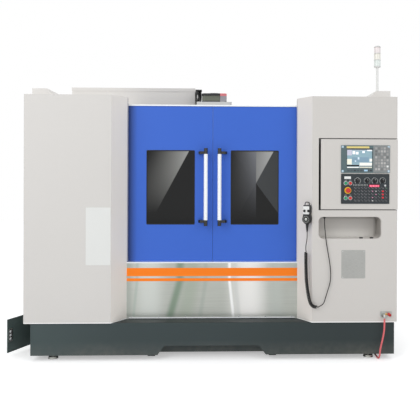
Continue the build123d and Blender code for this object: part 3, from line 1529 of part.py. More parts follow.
# Console box: bevelled left edge, openings for its two units, barrels on the pivot pins
with BuildPart() as console_box:
    with BuildSketch(Plane.XY.offset(CONSOLE_LOW)):
        with BuildLine():
            Polyline(
                (CONSOLE_LEFT, CONSOLE_BACK_Y),
                (CONSOLE_LEFT, CONSOLE_FRONT_Y + CONSOLE_BEVEL / 3),
                (CONSOLE_LEFT + CONSOLE_BEVEL, CONSOLE_FRONT_Y),
                (CONSOLE_RIGHT, CONSOLE_FRONT_Y),
                (CONSOLE_RIGHT, CONSOLE_BACK_Y),
                close=True,
            )
        make_face()
    extrude(amount=CONSOLE_HIGH - CONSOLE_LOW)
    fillet(
        console_box.edges().filter_by(Axis.Z).sort_by(Axis.X)[-2:].sort_by(Axis.Y)[0],
        10,
    )
    console_void = offset(
        console_box.part, amount=-CONSOLE_WALL, kind=Kind.INTERSECTION, mode=Mode.PRIVATE
    )
    add(console_void, mode=Mode.SUBTRACT)
    with BuildSketch(at_y(CONSOLE_FRONT_Y)):
        for x_low, x_high, z_low, z_high in (
            (DISPLAY_LEFT, DISPLAY_RIGHT, DISPLAY_LOW, DISPLAY_HIGH),
            (PANEL_LEFT, PANEL_RIGHT, PANEL_LOW, PANEL_HIGH),
        ):
            with Locations(((x_low + x_high) / 2, (z_low + z_high) / 2)):
                Rectangle(x_high - x_low - 2 * UNIT_LAP, z_high - z_low - 2 * UNIT_LAP)
    extrude(amount=-CONSOLE_WALL, mode=Mode.SUBTRACT)
    for low, high in (
        (POCKET_LOW + SEAT, POCKET_LOW + PIVOT_BARREL_H),
        (POCKET_HIGH - PIVOT_BARREL_H, POCKET_HIGH - SEAT),
    ):
        inner_low, inner_high = max(low, CONSOLE_LOW), min(high, CONSOLE_HIGH)
        block(
            (PIVOT_X, CONSOLE_LEFT + CONSOLE_WALL),
            (PIVOT_Y, PIVOT_Y + PIVOT_BARREL_R),
            (inner_low, inner_high),
        )
        with Locations((PIVOT_X, PIVOT_Y, (low + high) / 2)):
            Cylinder(PIVOT_BARREL_R, high - low)
            Cylinder(PIVOT_R + RUNNING, high - low, mode=Mode.SUBTRACT)
save(console_box, "console_box")


def key_field(x_span, z_span, columns, rows, plane, size_share=0.72):
    """A grid of low membrane keys on a front plane."""
    pitch_x = (x_span[1] - x_span[0]) / columns
    pitch_z = (z_span[1] - z_span[0]) / rows
    with BuildSketch(plane) as keys:
        with Locations(((x_span[0] + x_span[1]) / 2, (z_span[0] + z_span[1]) / 2)):
            with GridLocations(pitch_x, pitch_z, columns, rows):
                Rectangle(pitch_x * size_share, pitch_z * size_share)
    extrude(keys.sketch, amount=KEY_OUT)


# Display unit: bezel over the box's opening, body behind it, sunk screen and keys
with BuildPart() as display_unit:
    middle = ((DISPLAY_LEFT + DISPLAY_RIGHT) / 2, (DISPLAY_LOW + DISPLAY_HIGH) / 2)
    width, height = DISPLAY_RIGHT - DISPLAY_LEFT, DISPLAY_HIGH - DISPLAY_LOW
    with BuildSketch(at_y(CONSOLE_FRONT_Y)):
        with Locations(middle):
            RectangleRounded(width, height, 6)
    extrude(amount=UNIT_PROUD)
    with BuildSketch(at_y(CONSOLE_FRONT_Y)):
        with Locations(middle):
            Rectangle(width - 2 * (UNIT_LAP + UNIT_FIT), height - 2 * (UNIT_LAP + UNIT_FIT))
    extrude(amount=-DISPLAY_BODY)
    with BuildSketch(at_y(PANEL_FRONT_Y)):
        with Locations((sum(SCREEN_X) / 2, sum(SCREEN_Z) / 2)):
            Rectangle(SCREEN_X[1] - SCREEN_X[0], SCREEN_Z[1] - SCREEN_Z[0])
    extrude(amount=-SCREEN_SINK, mode=Mode.SUBTRACT)
    key_field(KEY_PAD_X, KEY_PAD_Z, KEY_COLS, KEY_ROWS, at_y(PANEL_FRONT_Y))
    key_field(SCREEN_X, SOFT_KEY_Z, 8, 1, at_y(PANEL_FRONT_Y))
save(display_unit, "display_unit")

SWITCHES = [POWER_ON, POWER_OFF, CYCLE_START, FEED_HOLD]
# Operator panel with the switches' holes and its membrane keys
with BuildPart() as operator_panel:
    middle = ((PANEL_LEFT + PANEL_RIGHT) / 2, (PANEL_LOW + PANEL_HIGH) / 2)
    width, height = PANEL_RIGHT - PANEL_LEFT, PANEL_HIGH - PANEL_LOW
    with BuildSketch(at_y(CONSOLE_FRONT_Y)):
        with Locations(middle):
            RectangleRounded(width, height, 4)
    extrude(amount=UNIT_PROUD)
    with BuildSketch(at_y(CONSOLE_FRONT_Y)):
        with Locations(middle):
            Rectangle(width - 2 * (UNIT_LAP + UNIT_FIT), height - 2 * (UNIT_LAP + UNIT_FIT))
    extrude(amount=-PANEL_BODY)
    key_field(PANEL_KEY_X, PANEL_KEY_Z, PANEL_KEY_COLS, PANEL_KEY_ROWS, at_y(PANEL_FRONT_Y))
    with BuildSketch(at_y(PANEL_FRONT_Y)):
        with Locations(ESTOP):
            Circle(ESTOP_COLLAR_R)
    extrude(amount=ESTOP_COLLAR)
    with BuildSketch(at_y(PANEL_FRONT_Y - ESTOP_COLLAR)):
        with Locations(ESTOP, *SWITCHES):
            Circle(BUTTON_STEM_R + BORE_FIT)
        with Locations(*[(x, KNOB_Z) for x in KNOBS.values()]):
            Circle(KNOB_STEM_R + BORE_FIT)
    extrude(amount=-(ESTOP_COLLAR + BUTTON_SINK + 6), mode=Mode.SUBTRACT)
save(operator_panel, "operator_panel")


def push_button(place, radius, out, seat):
    """A cap on a stem, with room behind the cap for its travel."""
    with BuildSketch(at_y(PANEL_FRONT_Y - seat)) as cap:
        with Locations(place):
            Circle(radius)
    extrude(cap.sketch, amount=out - seat)
    with BuildSketch(at_y(PANEL_FRONT_Y - seat)) as stem:
        with Locations(place):
            Circle(BUTTON_STEM_R)
    extrude(stem.sketch, amount=-(seat + BUTTON_SINK))


BUTTON_TRAVEL = 4.0
ESTOP_TRAVEL = 6.0
for label, place in (
    ("power_on_button", POWER_ON),
    ("power_off_button", POWER_OFF),
    ("cycle_start_button", CYCLE_START),
    ("feed_hold_button", FEED_HOLD),
):
    with BuildPart() as button:
        push_button(place, BUTTON_R, BUTTON_OUT, BUTTON_TRAVEL + SEAT)
        fillet(button.faces().sort_by(Axis.Y)[0].edges(), 1.5)
    save(button, label)

with BuildPart() as estop_button:
    push_button(ESTOP, ESTOP_R, ESTOP_OUT, ESTOP_COLLAR + ESTOP_TRAVEL + SEAT)
    fillet(estop_button.faces().sort_by(Axis.Y)[0].edges(), 6)
save(estop_button, "estop_button")


def rotary_knob(x):
    """A knob with a raised grip bar, on its stem."""
    with BuildSketch(at_y(PANEL_FRONT_Y - SEAT)) as cap:
        with Locations((x, KNOB_Z)):
            Circle(KNOB_R)
    extrude(cap.sketch, amount=6)
    with BuildSketch(at_y(PANEL_FRONT_Y - SEAT - 6)) as grip:
        with Locations((x, KNOB_Z)):
            SlotOverall(2 * KNOB_R - 5, 9, rotation=90)
    extrude(grip.sketch, amount=KNOB_OUT - 6)
    with BuildSketch(at_y(PANEL_FRONT_Y - SEAT)) as stem:
        with Locations((x, KNOB_Z)):
            Circle(KNOB_STEM_R)
    extrude(stem.sketch, amount=-(SEAT + BUTTON_SINK))


for label, x in KNOBS.items():
    with BuildPart() as knob:
        rotary_knob(x)
    save(knob, label)

# Pulse pendant: housing with bail and boot, hand wheel and two selector knobs
with BuildPart() as mpg_housing:
    with BuildSketch(Plane.XY.offset(MPG_LOW)):
        with Locations((0, -MPG_D / 2)):
            RectangleRounded(MPG_W, MPG_D, MPG_R)
    extrude(amount=MPG_HIGH - MPG_LOW)
    fillet(mpg_housing.faces().sort_by(Axis.Z)[-1].edges(), 5)
    fillet(mpg_housing.faces().sort_by(Axis.Z)[0].edges(), 5)
    with BuildSketch(Plane.XY.offset(MPG_LOW)):
        with Locations((0, -MPG_D / 2)):
            Circle(MPG_BOOT_R)
    extrude(amount=MPG_BOOT_LOW - MPG_LOW, taper=6)
    # Wire bail on top
    with BuildLine(Plane.XZ.offset(MPG_D / 2)) as bail:
        FilletPolyline(
            (-MPG_BAIL_W / 2 + MPG_BAIL_R, MPG_HIGH - 4),
            (-MPG_BAIL_W / 2 + MPG_BAIL_R, MPG_HIGH + MPG_BAIL_H),
            (MPG_BAIL_W / 2 - MPG_BAIL_R, MPG_HIGH + MPG_BAIL_H),
            (MPG_BAIL_W / 2 - MPG_BAIL_R, MPG_HIGH - 4),
            radius=9,
        )
    with BuildSketch(Plane.XY.offset(MPG_HIGH - 4)):
        with Locations((-MPG_BAIL_W / 2 + MPG_BAIL_R, -MPG_D / 2)):
            Circle(MPG_BAIL_R)
    sweep(path=bail.wire())
    # Stem bores
    with BuildSketch(Plane.XZ.offset(MPG_D)):
        with Locations((0, MPG_WHEEL_Z)):
            Circle(MPG_KNOB_R / 2 + BORE_FIT)
        with Locations((-MPG_KNOB_OFF, MPG_KNOB_Z), (MPG_KNOB_OFF, MPG_KNOB_Z)):
            Circle(KNOB_STEM_R + BORE_FIT)
    extrude(amount=-BUTTON_SINK - 2, mode=Mode.SUBTRACT)
mpg_housing.part = mpg_housing.part.moved(MPG_PLANE.location)
save(mpg_housing, "mpg_housing")

selector_place = MPG_FACE.offset(SEAT).location
with BuildPart() as mpg_wheel:
    with BuildSketch(Plane.XY):
        with Locations((0, MPG_WHEEL_Z)):
            Circle(MPG_WHEEL_R)
    extrude(amount=MPG_WHEEL_T)
    with BuildSketch(Plane.XY):
        with Locations((0, MPG_WHEEL_Z)):
            Circle(MPG_KNOB_R / 2)
    extrude(amount=-BUTTON_SINK)
    with BuildSketch(Plane.XY.offset(MPG_WHEEL_T)):
        with Locations((MPG_WHEEL_R * 0.55, MPG_WHEEL_Z)):
            Circle(6)
    extrude(amount=9)
mpg_wheel.part = mpg_wheel.part.moved(selector_place)
save(mpg_wheel, "mpg_wheel")

for label, off in (("mpg_axis_knob", -MPG_KNOB_OFF), ("mpg_rate_knob", MPG_KNOB_OFF)):
    with BuildPart() as selector:
        with BuildSketch(Plane.XY):
            with Locations((off, MPG_KNOB_Z)):
                Circle(MPG_KNOB_R)
        extrude(amount=5)
        with BuildSketch(Plane.XY.offset(5)):
            with Locations((off, MPG_KNOB_Z)):
                SlotOverall(2 * MPG_KNOB_R - 3, 6, rotation=90)
        extrude(amount=MPG_KNOB_OUT - 5)
        with BuildSketch(Plane.XY):
            with Locations((off, MPG_KNOB_Z)):
                Circle(KNOB_STEM_R)
        extrude(amount=-BUTTON_SINK)
    selector.part = selector.part.moved(selector_place)
    save(selector, label)

# Pendant cord: straight lead, curly part as one round body, tail up to the gland
mpg_coil = cord(COIL_ROUTE, COIL_R, "mpg_coil")
save(mpg_coil, "mpg_coil")
lead_top = cord(LEAD_ROUTE, LEAD_R, "lead")
lead_tail = cord(TAIL_ROUTE, LEAD_R, "tail")
with BuildPart() as mpg_lead:
    add(lead_top.part)
    add(lead_tail.part)
save(mpg_lead, "mpg_lead")

with BuildPart() as mpg_gland:
    with BuildSketch(Plane.XY.offset(RECESS_Z[1])):
        with Locations((TAIL_ROUTE[-1][0], FRONT_Y + TAIL_ROUTE[-1][1])):
            RegularPolygon(GLAND_R + 3, 6)
    extrude(amount=-7)
    with BuildSketch(Plane.XY.offset(RECESS_Z[1] - 7)):
        with Locations((TAIL_ROUTE[-1][0], FRONT_Y + TAIL_ROUTE[-1][1])):
            Circle(GLAND_R)
    extrude(amount=-(RECESS_Z[1] - 7 - GLAND_LOW), taper=12)
save(mpg_gland, "mpg_gland")

# Air inlet plate with its elbow, the hose and the hose's coupling
with BuildPart() as air_inlet_plate:
    with BuildSketch(front()):
        with Locations((sum(INLET_X) / 2, sum(INLET_Z) / 2)):
            RectangleRounded(INLET_X[1] - INLET_X[0], INLET_Z[1] - INLET_Z[0], 4)
            with Locations((22, 0)):
                with GridLocations(18, 18, 2, 2):
                    Circle(4, mode=Mode.SUBTRACT)
    extrude(amount=SHEET)
    with BuildLine() as elbow:
        FilletPolyline(
            (ELBOW_X, FRONT_Y - SHEET, ELBOW_Z),
            (ELBOW_X, FRONT_Y - ELBOW_OUT, ELBOW_Z),
            (ELBOW_X, FRONT_Y - ELBOW_OUT, ELBOW_LOW),
            radius=ELBOW_R + 2,
        )
    with BuildSketch(at_y(FRONT_Y - SHEET)):
        with Locations((ELBOW_X, ELBOW_Z)):
            Circle(ELBOW_R)
    sweep(path=elbow.wire())
save(air_inlet_plate, "air_inlet_plate")

air_hose = cord(HOSE_ROUTE, HOSE_R, "air_hose")
save(air_hose, "air_hose")

hose_end = Vector(HOSE_ROUTE[-1][0], FRONT_Y + HOSE_ROUTE[-1][1], HOSE_ROUTE[-1][2])
hose_before = Vector(HOSE_ROUTE[-2][0], FRONT_Y + HOSE_ROUTE[-2][1], HOSE_ROUTE[-2][2])
coupling_plane = Plane(origin=hose_end, z_dir=hose_end - hose_before)
with BuildPart() as air_coupling:
    with BuildSketch(coupling_plane):
        Circle(COUPLING_R - 3)
    extrude(amount=COUPLING_LEN)
    with BuildSketch(coupling_plane.offset(12)):
        Circle(COUPLING_R)
    extrude(amount=COUPLING_LEN / 2)
save(air_coupling, "air_coupling")

# Signal tower on the right roof rib
with BuildPart() as signal_tower:
    with BuildSketch(Plane.XY.offset(RIB_TOP)):
        Circle(TOWER_LAMP_R + 5)
    extrude(amount=14)
    with BuildSketch(Plane.XY.offset(RIB_TOP + 14)):
        Circle(TOWER_POLE_R)
    lamp_low = TOWER_TOP - 16 - TOWER_TIERS * TOWER_LAMP
    extrude(amount=lamp_low - RIB_TOP - 14)
    for n in range(TOWER_TIERS):
        with BuildSketch(Plane.XY.offset(lamp_low + n * TOWER_LAMP)):
            Circle(TOWER_LAMP_R)
        extrude(amount=TOWER_LAMP - 4)
        with BuildSketch(Plane.XY.offset(lamp_low + (n + 1) * TOWER_LAMP - 4)):
            Circle(TOWER_LAMP_R - 3)
        extrude(amount=4)
    with BuildSketch(Plane.XY.offset(TOWER_TOP - 16)):
        Circle(TOWER_LAMP_R)
    extrude(amount=16, taper=30)
signal_tower.part = signal_tower.part.moved(Location((TOWER_X, FRONT_Y + TOWER_IN, 0)))
save(signal_tower, "signal_tower")
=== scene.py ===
"""Vertical machining centre: finishes, fittings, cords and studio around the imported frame."""

from __future__ import annotations

import logging
from dataclasses import dataclass, field, replace
from enum import Enum
from math import radians, tau
from typing import Sequence

import bmesh
import bpy
import numpy as np
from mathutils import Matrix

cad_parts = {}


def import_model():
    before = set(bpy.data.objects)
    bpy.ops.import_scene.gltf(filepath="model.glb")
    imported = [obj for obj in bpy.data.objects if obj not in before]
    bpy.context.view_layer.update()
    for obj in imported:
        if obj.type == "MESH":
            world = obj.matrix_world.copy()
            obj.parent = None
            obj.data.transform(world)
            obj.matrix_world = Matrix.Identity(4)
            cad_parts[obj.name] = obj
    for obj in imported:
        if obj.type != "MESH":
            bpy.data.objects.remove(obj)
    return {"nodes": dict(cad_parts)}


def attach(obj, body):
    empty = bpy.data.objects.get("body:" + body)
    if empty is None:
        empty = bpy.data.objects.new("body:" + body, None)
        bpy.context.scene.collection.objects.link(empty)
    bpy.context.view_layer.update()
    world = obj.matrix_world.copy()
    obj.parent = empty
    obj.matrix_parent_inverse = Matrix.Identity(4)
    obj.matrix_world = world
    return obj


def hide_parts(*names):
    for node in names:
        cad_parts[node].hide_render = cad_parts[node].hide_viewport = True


LOG = logging.getLogger("machining_centre")
Tone = tuple[int, int, int]  # display colour
Pair = tuple[float, float]
Vec = tuple[float, float, float]
Piece = bpy.types.Object
FRONT_Y = -1.150  # front plane of the hoods, in metres
PANEL_Y = -1.159  # face of the console's display and operator panel
SINK = 0.0002  # how far the back of a fitting lies inside what carries it


# Surfaces


class Closing(Enum):
    """How the two ends of a swept surface are closed."""

    CAPPED = "capped"
    JOINED = "joined"


class Side(Enum):
    """The two sides of the machine as the operator sees them; the value is the sign of x."""

    LEFT = -1.0
    RIGHT = 1.0

    @property
    def word(self) -> str:
        """The side's name, as the nodes have it."""
        return self.name.lower()


@dataclass(frozen=True)
class Seat:
    """A place on the machine: an origin and three directions, in metres."""

    origin: Vec
    across: Vec = (1.0, 0.0, 0.0)
    upward: Vec = (0.0, 0.0, 1.0)
    outward: Vec = (0.0, -1.0, 0.0)

    def place(self, local: np.ndarray) -> np.ndarray:
        """Points of the frame for local ones: the origin plus each direction times its part."""
        return np.asarray(self.origin) + local @ np.array([self.across, self.upward, self.outward])

    def moved(self, across: float, upward: float, outward: float = 0.0) -> Seat:
        """A seat with the same directions, at a place given in this seat's parts."""
        return replace(self, origin=tuple(self.place(np.array([across, upward, outward]))))


def front_seat(x: float = 0.0, z: float = 0.0, y: float = FRONT_Y) -> Seat:
    """A seat on a plane that faces the operator."""
    return Seat((x, y, z))


def floor_seat(x: float, y: float, z: float) -> Seat:
    """A seat on a level plane that faces up."""
    return Seat((x, y, z), (1.0, 0.0, 0.0), (0.0, 1.0, 0.0), (0.0, 0.0, 1.0))


def points(x: np.ndarray, y: np.ndarray, z: np.ndarray) -> np.ndarray:
    """Points from their three parts, where a part may be one number for all."""
    return np.stack(np.broadcast_arrays(x, y, z), axis=-1)


def spread(count: int, pitch: float) -> np.ndarray:
    """Evenly spaced places about zero."""
    return pitch * (np.arange(count) - (count - 1) / 2)


def lattice(
    xs: Sequence[float] = (0.0,), ys: Sequence[float] = (0.0,), zs: Sequence[float] = (0.0,)
) -> np.ndarray:
    """Offsets of copies in the frame's directions, one for each mix of the three lists."""
    return points(*np.meshgrid(xs, ys, zs, indexing="ij")).reshape(-1, 3)


@dataclass(frozen=True)
class Area:
    """An upright rectangle that faces the operator, by its four sides."""

    left: float
    right: float
    low: float
    high: float

    @property
    def size(self) -> Pair:
        """Width and height."""
        return self.right - self.left, self.high - self.low

    def seat(self, y: float = FRONT_Y) -> Seat:
        """Seat at its middle."""
        return front_seat((self.left + self.right) / 2, (self.low + self.high) / 2, y)

    def corners(self, inset: float = 0.0) -> np.ndarray:
        """Offsets of copies at its corners, or inside them by the inset."""
        zs = (self.low + inset, self.high - inset)
        return lattice((self.left + inset, self.right - inset), zs=zs)


def ring(radius: float, count: int) -> np.ndarray:
    """Circle of shape (count, 2): cosine and sine of evenly spaced angles, times the radius."""
    angle = tau * np.arange(count) / count
    return radius * np.stack([np.cos(angle), np.sin(angle)], axis=-1)


def round_rect(size: Pair, radius: float, steps: int) -> np.ndarray:
    """Rounded rectangle: four quarter circles about the inset corners, joined by straight sides.

    Args:
        size: Full width and height.
        radius: Corner radius.
        steps: Points on each quarter circle.

    Returns:
        Array of shape (4 * steps, 2).
    """
    angle = np.linspace(0.0, tau / 4, steps)[None, :] + (tau / 4) * np.arange(4)[:, None]
    signs = np.array([[1, 1], [-1, 1], [-1, -1], [1, -1]])
    centre = signs * (np.array(size) / 2 - radius)
    arc = radius * np.stack([np.cos(angle), np.sin(angle)], axis=-1)
    return (centre[:, None, :] + arc).reshape(-1, 2)


def stack(outline: np.ndarray, levels: Sequence[Pair]) -> np.ndarray:
    """Loft of one outline: at each level it is scaled by the inset over its reach, and lifted.

    Args:
        outline: Array of shape (n, 2).
        levels: Pairs of inset and lift.

    Returns:
        Array of shape (levels, n, 3).
    """
    inset, lift = np.array(levels).T
    scale = 1.0 - inset[:, None] / np.abs(outline).max(axis=0)[None, :]
    flat = outline[None, :, :] * scale[:, None, :]
    return points(flat[..., 0], flat[..., 1], lift[:, None])


def revolve(profile: Sequence[Pair], sides: int) -> np.ndarray:
    """Surface of revolution: each profile point's radius times a circle, at its height.

    Args:
        profile: Radii and heights from the back to the front.
        sides: Points on each circle; 6 makes a hexagon.

    Returns:
        Array of shape (levels, sides, 3).
    """
    radius, height = np.array(profile).T
    flat = radius[:, None, None] * ring(1.0, sides)[None, :, :]
    return points(flat[..., 0], flat[..., 1], height[:, None])


def square_pair(path: np.ndarray) -> tuple[np.ndarray, np.ndarray]:
    """Two directions square to a path, and to each other, at each of its points.

    The path's direction is the central difference of its points. The first result is the
    world axis least in line with the whole path, less its part along the direction, and the
    second is the cross product of the direction and the first.

    Args:
        path: Array of shape (n, 3).

    Returns:
        Two arrays of unit vectors, of shape (n, 3).
    """
    along = np.gradient(path, axis=0)
    along /= np.linalg.norm(along, axis=1, keepdims=True)
    guide = np.eye(3)[np.abs(along).mean(axis=0).argmin()]
    first = guide - (along @ guide)[:, None] * along
    first /= np.linalg.norm(first, axis=1, keepdims=True)
    return first, np.cross(along, first)


def grid_faces(rows: int, columns: int, closing: Closing) -> list[np.ndarray]:
    """Faces between neighbouring rings: each quad joins two columns of two rows.

    Args:
        rows: Number of rings.
        columns: Points on each ring.
        closing: Whether the end rings get a cap or meet each other.

    Returns:
        Arrays of quads and, when capped, two end polygons.
    """
    last = rows if closing is Closing.JOINED else rows - 1
    row, column = np.meshgrid(np.arange(last), np.arange(columns), indexing="ij")
    upper, right = (row + 1) % rows, (column + 1) % columns
    corners = ((row, column), (row, right), (upper, right), (upper, column))
    quads = np.stack([line * columns + place for line, place in corners], axis=-1).reshape(-1, 4)
    if closing is Closing.JOINED:
        return [quads]
    low = np.arange(columns)[::-1][None, :]
    high = ((rows - 1) * columns + np.arange(columns))[None, :]
    return [quads, low, high]


def link_object(name: str, data: bpy.types.ID) -> Piece:
    """A new object of the scene, at the origin."""
    piece = bpy.data.objects.new(name, data)
    bpy.context.scene.collection.objects.link(piece)
    return piece


def mesh_object(
    name: str, places: np.ndarray, faces: Sequence[np.ndarray], crease: float = 32.0
) -> Piece:
    """An object from whole arrays, smooth but for sharp edges, with outward faces.

    Args:
        name: Name of the piece.
        places: Array of shape (n, 3).
        faces: Arrays of shape (m, k), each holding the corners of m faces.
        crease: Angle in degrees above which an edge stays sharp.

    Returns:
        The new object.
    """
    mesh = bpy.data.meshes.new(name)
    mesh.from_pydata(places.tolist(), [], sum((group.tolist() for group in faces), []))
    mesh.validate()
    shape = bmesh.new()
    shape.from_mesh(mesh)
    bmesh.ops.recalc_face_normals(shape, faces=shape.faces)
    shape.to_mesh(mesh)
    shape.free()
    mesh.shade_smooth()
    mesh.set_sharp_from_angle(angle=radians(crease))
    return link_object(name, mesh)


def solid(
    name: str,
    rings: np.ndarray,
    closing: Closing = Closing.CAPPED,
    spots: np.ndarray | None = None,
    crease: float = 32.0,
) -> Piece:
    """An object from a grid of points, repeated at every spot.

    Args:
        name: Name of the piece.
        rings: Array of shape (rows, columns, 3).
        closing: How the ends are closed.
        spots: Offsets of the copies, of shape (m, 3), or None for one.
        crease: Angle in degrees above which an edge stays sharp.

    Returns:
        The new object.
    """
    shifts = np.zeros((1, 3)) if spots is None else np.asarray(spots, float)
    base = rings.reshape(-1, 3)
    step = np.arange(len(shifts)) * len(base)
    faces = [
        (group[None, :, :] + step[:, None, None]).reshape(-1, group.shape[1])
        for group in grid_faces(*rings.shape[:2], closing)
    ]
    return mesh_object(name, (shifts[:, None, :] + base[None, :, :]).reshape(-1, 3), faces, crease)


def tube(
    name: str, path: np.ndarray, radius: float | np.ndarray, sides: int, crease: float = 60.0
) -> Piece:
    """Tube along a path: at each point a circle in the plane of the path's square pair.

    Args:
        name: Name of the piece.
        path: Array of shape (n, 3).
        radius: One radius, or one for each point.
        sides: Points on each circle.
        crease: Angle in degrees above which an edge stays sharp.

    Returns:
        The new object.
    """
    first, second = square_pair(path)
    turn = ring(1.0, sides)
    reach = np.broadcast_to(np.asarray(radius, float).reshape(-1, 1, 1), (len(path), 1, 1))
    circle = turn[None, :, :1] * first[:, None, :] + turn[None, :, 1:] * second[:, None, :]
    return solid(name, path[:, None, :] + reach * circle, crease=crease)


def slab(
    name: str,
    seat: Seat,
    size: Pair,
    thickness: float,
    corner: float = 0.002,
    edge: float = 0.0006,
    spots: np.ndarray | None = None,
    sink: float = SINK,
    steps: int = 4,
) -> Piece:
    """Plate with round corners and a chamfered front edge, lofted outwards from its seat.

    Args:
        name: Name of the piece.
        seat: Place of the middle of its back.
        size: Width and height.
        thickness: Height of its face over the seat.
        corner: Corner radius.
        edge: Width of the chamfer.
        spots: Offsets of further copies.
        sink: How far its back lies inside what carries it.
        steps: Points on each corner.

    Returns:
        The new object.
    """
    levels = [(0.0, -sink), (0.0, thickness - edge), (edge, thickness)]
    rings = stack(round_rect(size, corner, steps), levels)
    return solid(name, seat.place(rings), spots=spots)


def rim(
    name: str, seat: Seat, size: Pair, corner: float, levels: Sequence[Pair], steps: int = 6
) -> Piece:
    """Frame around a rounded rectangle: a closed profile of insets and lifts carried round it.

    Args:
        name: Name of the piece.
        seat: Place of the middle of its back.
        size: Width and height.
        corner: Corner radius.
        levels: Pairs of inset and lift.
        steps: Points on each corner.

    Returns:
        The new object.
    """
    rings = stack(round_rect(size, corner, steps), levels)
    return solid(name, seat.place(rings), Closing.JOINED)


def turned(
    name: str, seat: Seat, profile: Sequence[Pair], sides: int = 24, spots: np.ndarray | None = None
) -> Piece:
    """A turned part: its profile revolved about the seat's outward direction.

    Args:
        name: Name of the piece.
        seat: Place of the axis.
        profile: Radii and heights from the back to the front.
        sides: Points on each circle.
        spots: Offsets of further copies.

    Returns:
        The new object.
    """
    return solid(name, seat.place(revolve(profile, sides)), spots=spots)


def collar(
    name: str, seat: Seat, radii: Pair, height: float, sides: int, spots: np.ndarray | None = None
) -> Piece:
    """Ring with a chamfered front: a closed profile revolved about the seat's axis.

    Args:
        name: Name of the piece.
        seat: Place of the axis.
        radii: Inner and outer radius.
        height: Height of its front over the seat.
        sides: Points on each circle.
        spots: Offsets of further copies.

    Returns:
        The new object.
    """
    inner, outer = radii
    cut = min(0.3 * (outer - inner), 0.4 * height)
    profile = [(outer, -SINK), (outer, height - cut), (outer - cut, height),
               (inner + cut / 2, height), (inner, height - cut), (inner, -SINK)]
    return solid(name, seat.place(revolve(profile, sides)), Closing.JOINED, spots)


def spokes(
    name: str, seat: Seat, angles: np.ndarray, radii: Pair, width: float, height: float
) -> Piece:
    """Short bars around a centre, one at each angle, standing over the seat.

    A bar's corners are the radial direction times the inner or outer radius, plus or minus
    half the width along the direction square to it.

    Args:
        name: Name of the piece.
        seat: Place of the centre.
        angles: Angles in radians from the across direction.
        radii: Radii at which the bars start and end.
        width: Width of a bar.
        height: Height of a bar's face.

    Returns:
        The new object.
    """
    inner, outer = radii
    radial = np.stack([np.cos(angles), np.sin(angles)], axis=-1)
    side = np.stack([-np.sin(angles), np.cos(angles)], axis=-1)
    corners = [(inner, -1), (outer, -1), (outer, 1), (inner, 1)]
    flat = np.stack([reach * radial + sign * width / 2 * side for reach, sign in corners], axis=1)
    box_corners = np.concatenate(
        [points(flat[..., 0], flat[..., 1], lift) for lift in (-SINK / 2, height)], axis=1)
    quads = np.array([[3, 2, 1, 0], [4, 5, 6, 7], [0, 1, 5, 4], [1, 2, 6, 5], [2, 3, 7, 6],
                      [3, 0, 4, 7]])
    faces = (quads[None] + 8 * np.arange(len(angles))[:, None, None]).reshape(-1, 4)
    return mesh_object(name, seat.place(box_corners.reshape(-1, 3)), [faces])


def socket_screws(
    name: str, seat: Seat, radius: float, height: float, spots: np.ndarray
) -> Piece:
    """Button-head screws: a domed profile that turns back down into a recess.

    Args:
        name: Name of the piece.
        seat: Plane that the heads stand on.
        radius: Radius of a head.
        height: Height of a head.
        spots: Offsets of the heads.

    Returns:
        The new object.
    """
    profile = [(radius, -0.0003), (radius, 0.35 * height), (0.85 * radius, 0.75 * height),
               (0.6 * radius, height), (0.45 * radius, height), (0.45 * radius, 0.4 * height)]
    return turned(name, seat, profile, 12, spots)


def louvres(name: str, seat: Seat, size: Vec, spots: np.ndarray) -> Piece:
    """Pressed louvres: a quarter-round hood whose ends fall back to the sheet.

    Across, the hood's height over the sheet is the full height times one minus the fourth
    power of the place from the middle; up, it follows a quarter circle from the lip.

    Args:
        name: Name of the piece.
        seat: Middle of the field.
        size: Length and height of a louvre, and how far its lip stands out.
        spots: Offsets of the louvres.

    Returns:
        The new object.
    """
    width, height, out = size
    across = np.linspace(-1.0, 1.0, 13)[:, None]
    arc = np.linspace(0.0, tau / 4, 6)
    rise = np.concatenate([[-0.5], -0.5 + np.sin(arc), [0.5]])
    depth = np.concatenate([[-0.05], np.cos(arc), [-0.05]])
    lift = np.maximum(depth[None, :] * (1.0 - across**4), -0.05) * out
    rings = points(across * width / 2, rise[None, :] * height, lift)
    return solid(name, seat.place(rings), spots=spots, crease=40.0)


def join(name: str, pieces: Sequence[Piece]) -> Piece:
    """One object with the meshes of several, each keeping its own material.

    Args:
        name: Name of the joined piece.
        pieces: Objects at the origin; they are removed.

    Returns:
        The joined object.
    """
    shape = bmesh.new()
    mesh = bpy.data.meshes.new(name)
    for index, piece in enumerate(pieces):
        first = len(shape.faces)
        shape.from_mesh(piece.data)
        shape.faces.ensure_lookup_table()
        for face in shape.faces[first:]:
            face.material_index = index
        mesh.materials.append(piece.data.materials[0])
        bpy.data.objects.remove(piece)
    shape.to_mesh(mesh)
    shape.free()
    mesh.set_sharp_from_angle(angle=radians(32.0))
    return link_object(name, mesh)


def spline_object(name: str, route: Sequence[Vec], radius: float) -> Piece:
    """Round cord on a smooth spline that takes the route's points as its control points.

    Args:
        name: Name of the piece.
        route: Control points.
        radius: Radius of the cord; 0 gives the bare line.

    Returns:
        The curve object.
    """
    curve = bpy.data.curves.new(name, "CURVE")
    curve.dimensions = "3D"
    curve.resolution_u = 12
    curve.bevel_depth = radius
    curve.bevel_resolution = 5
    curve.use_fill_caps = True
    spline = curve.splines.new("NURBS")
    spline.points.add(len(route) - 1)
    spline.points.foreach_set("co", [part for point in route for part in (*point, 1.0)])
    spline.order_u = 3
    spline.use_endpoint_u = True
    return link_object(name, curve)


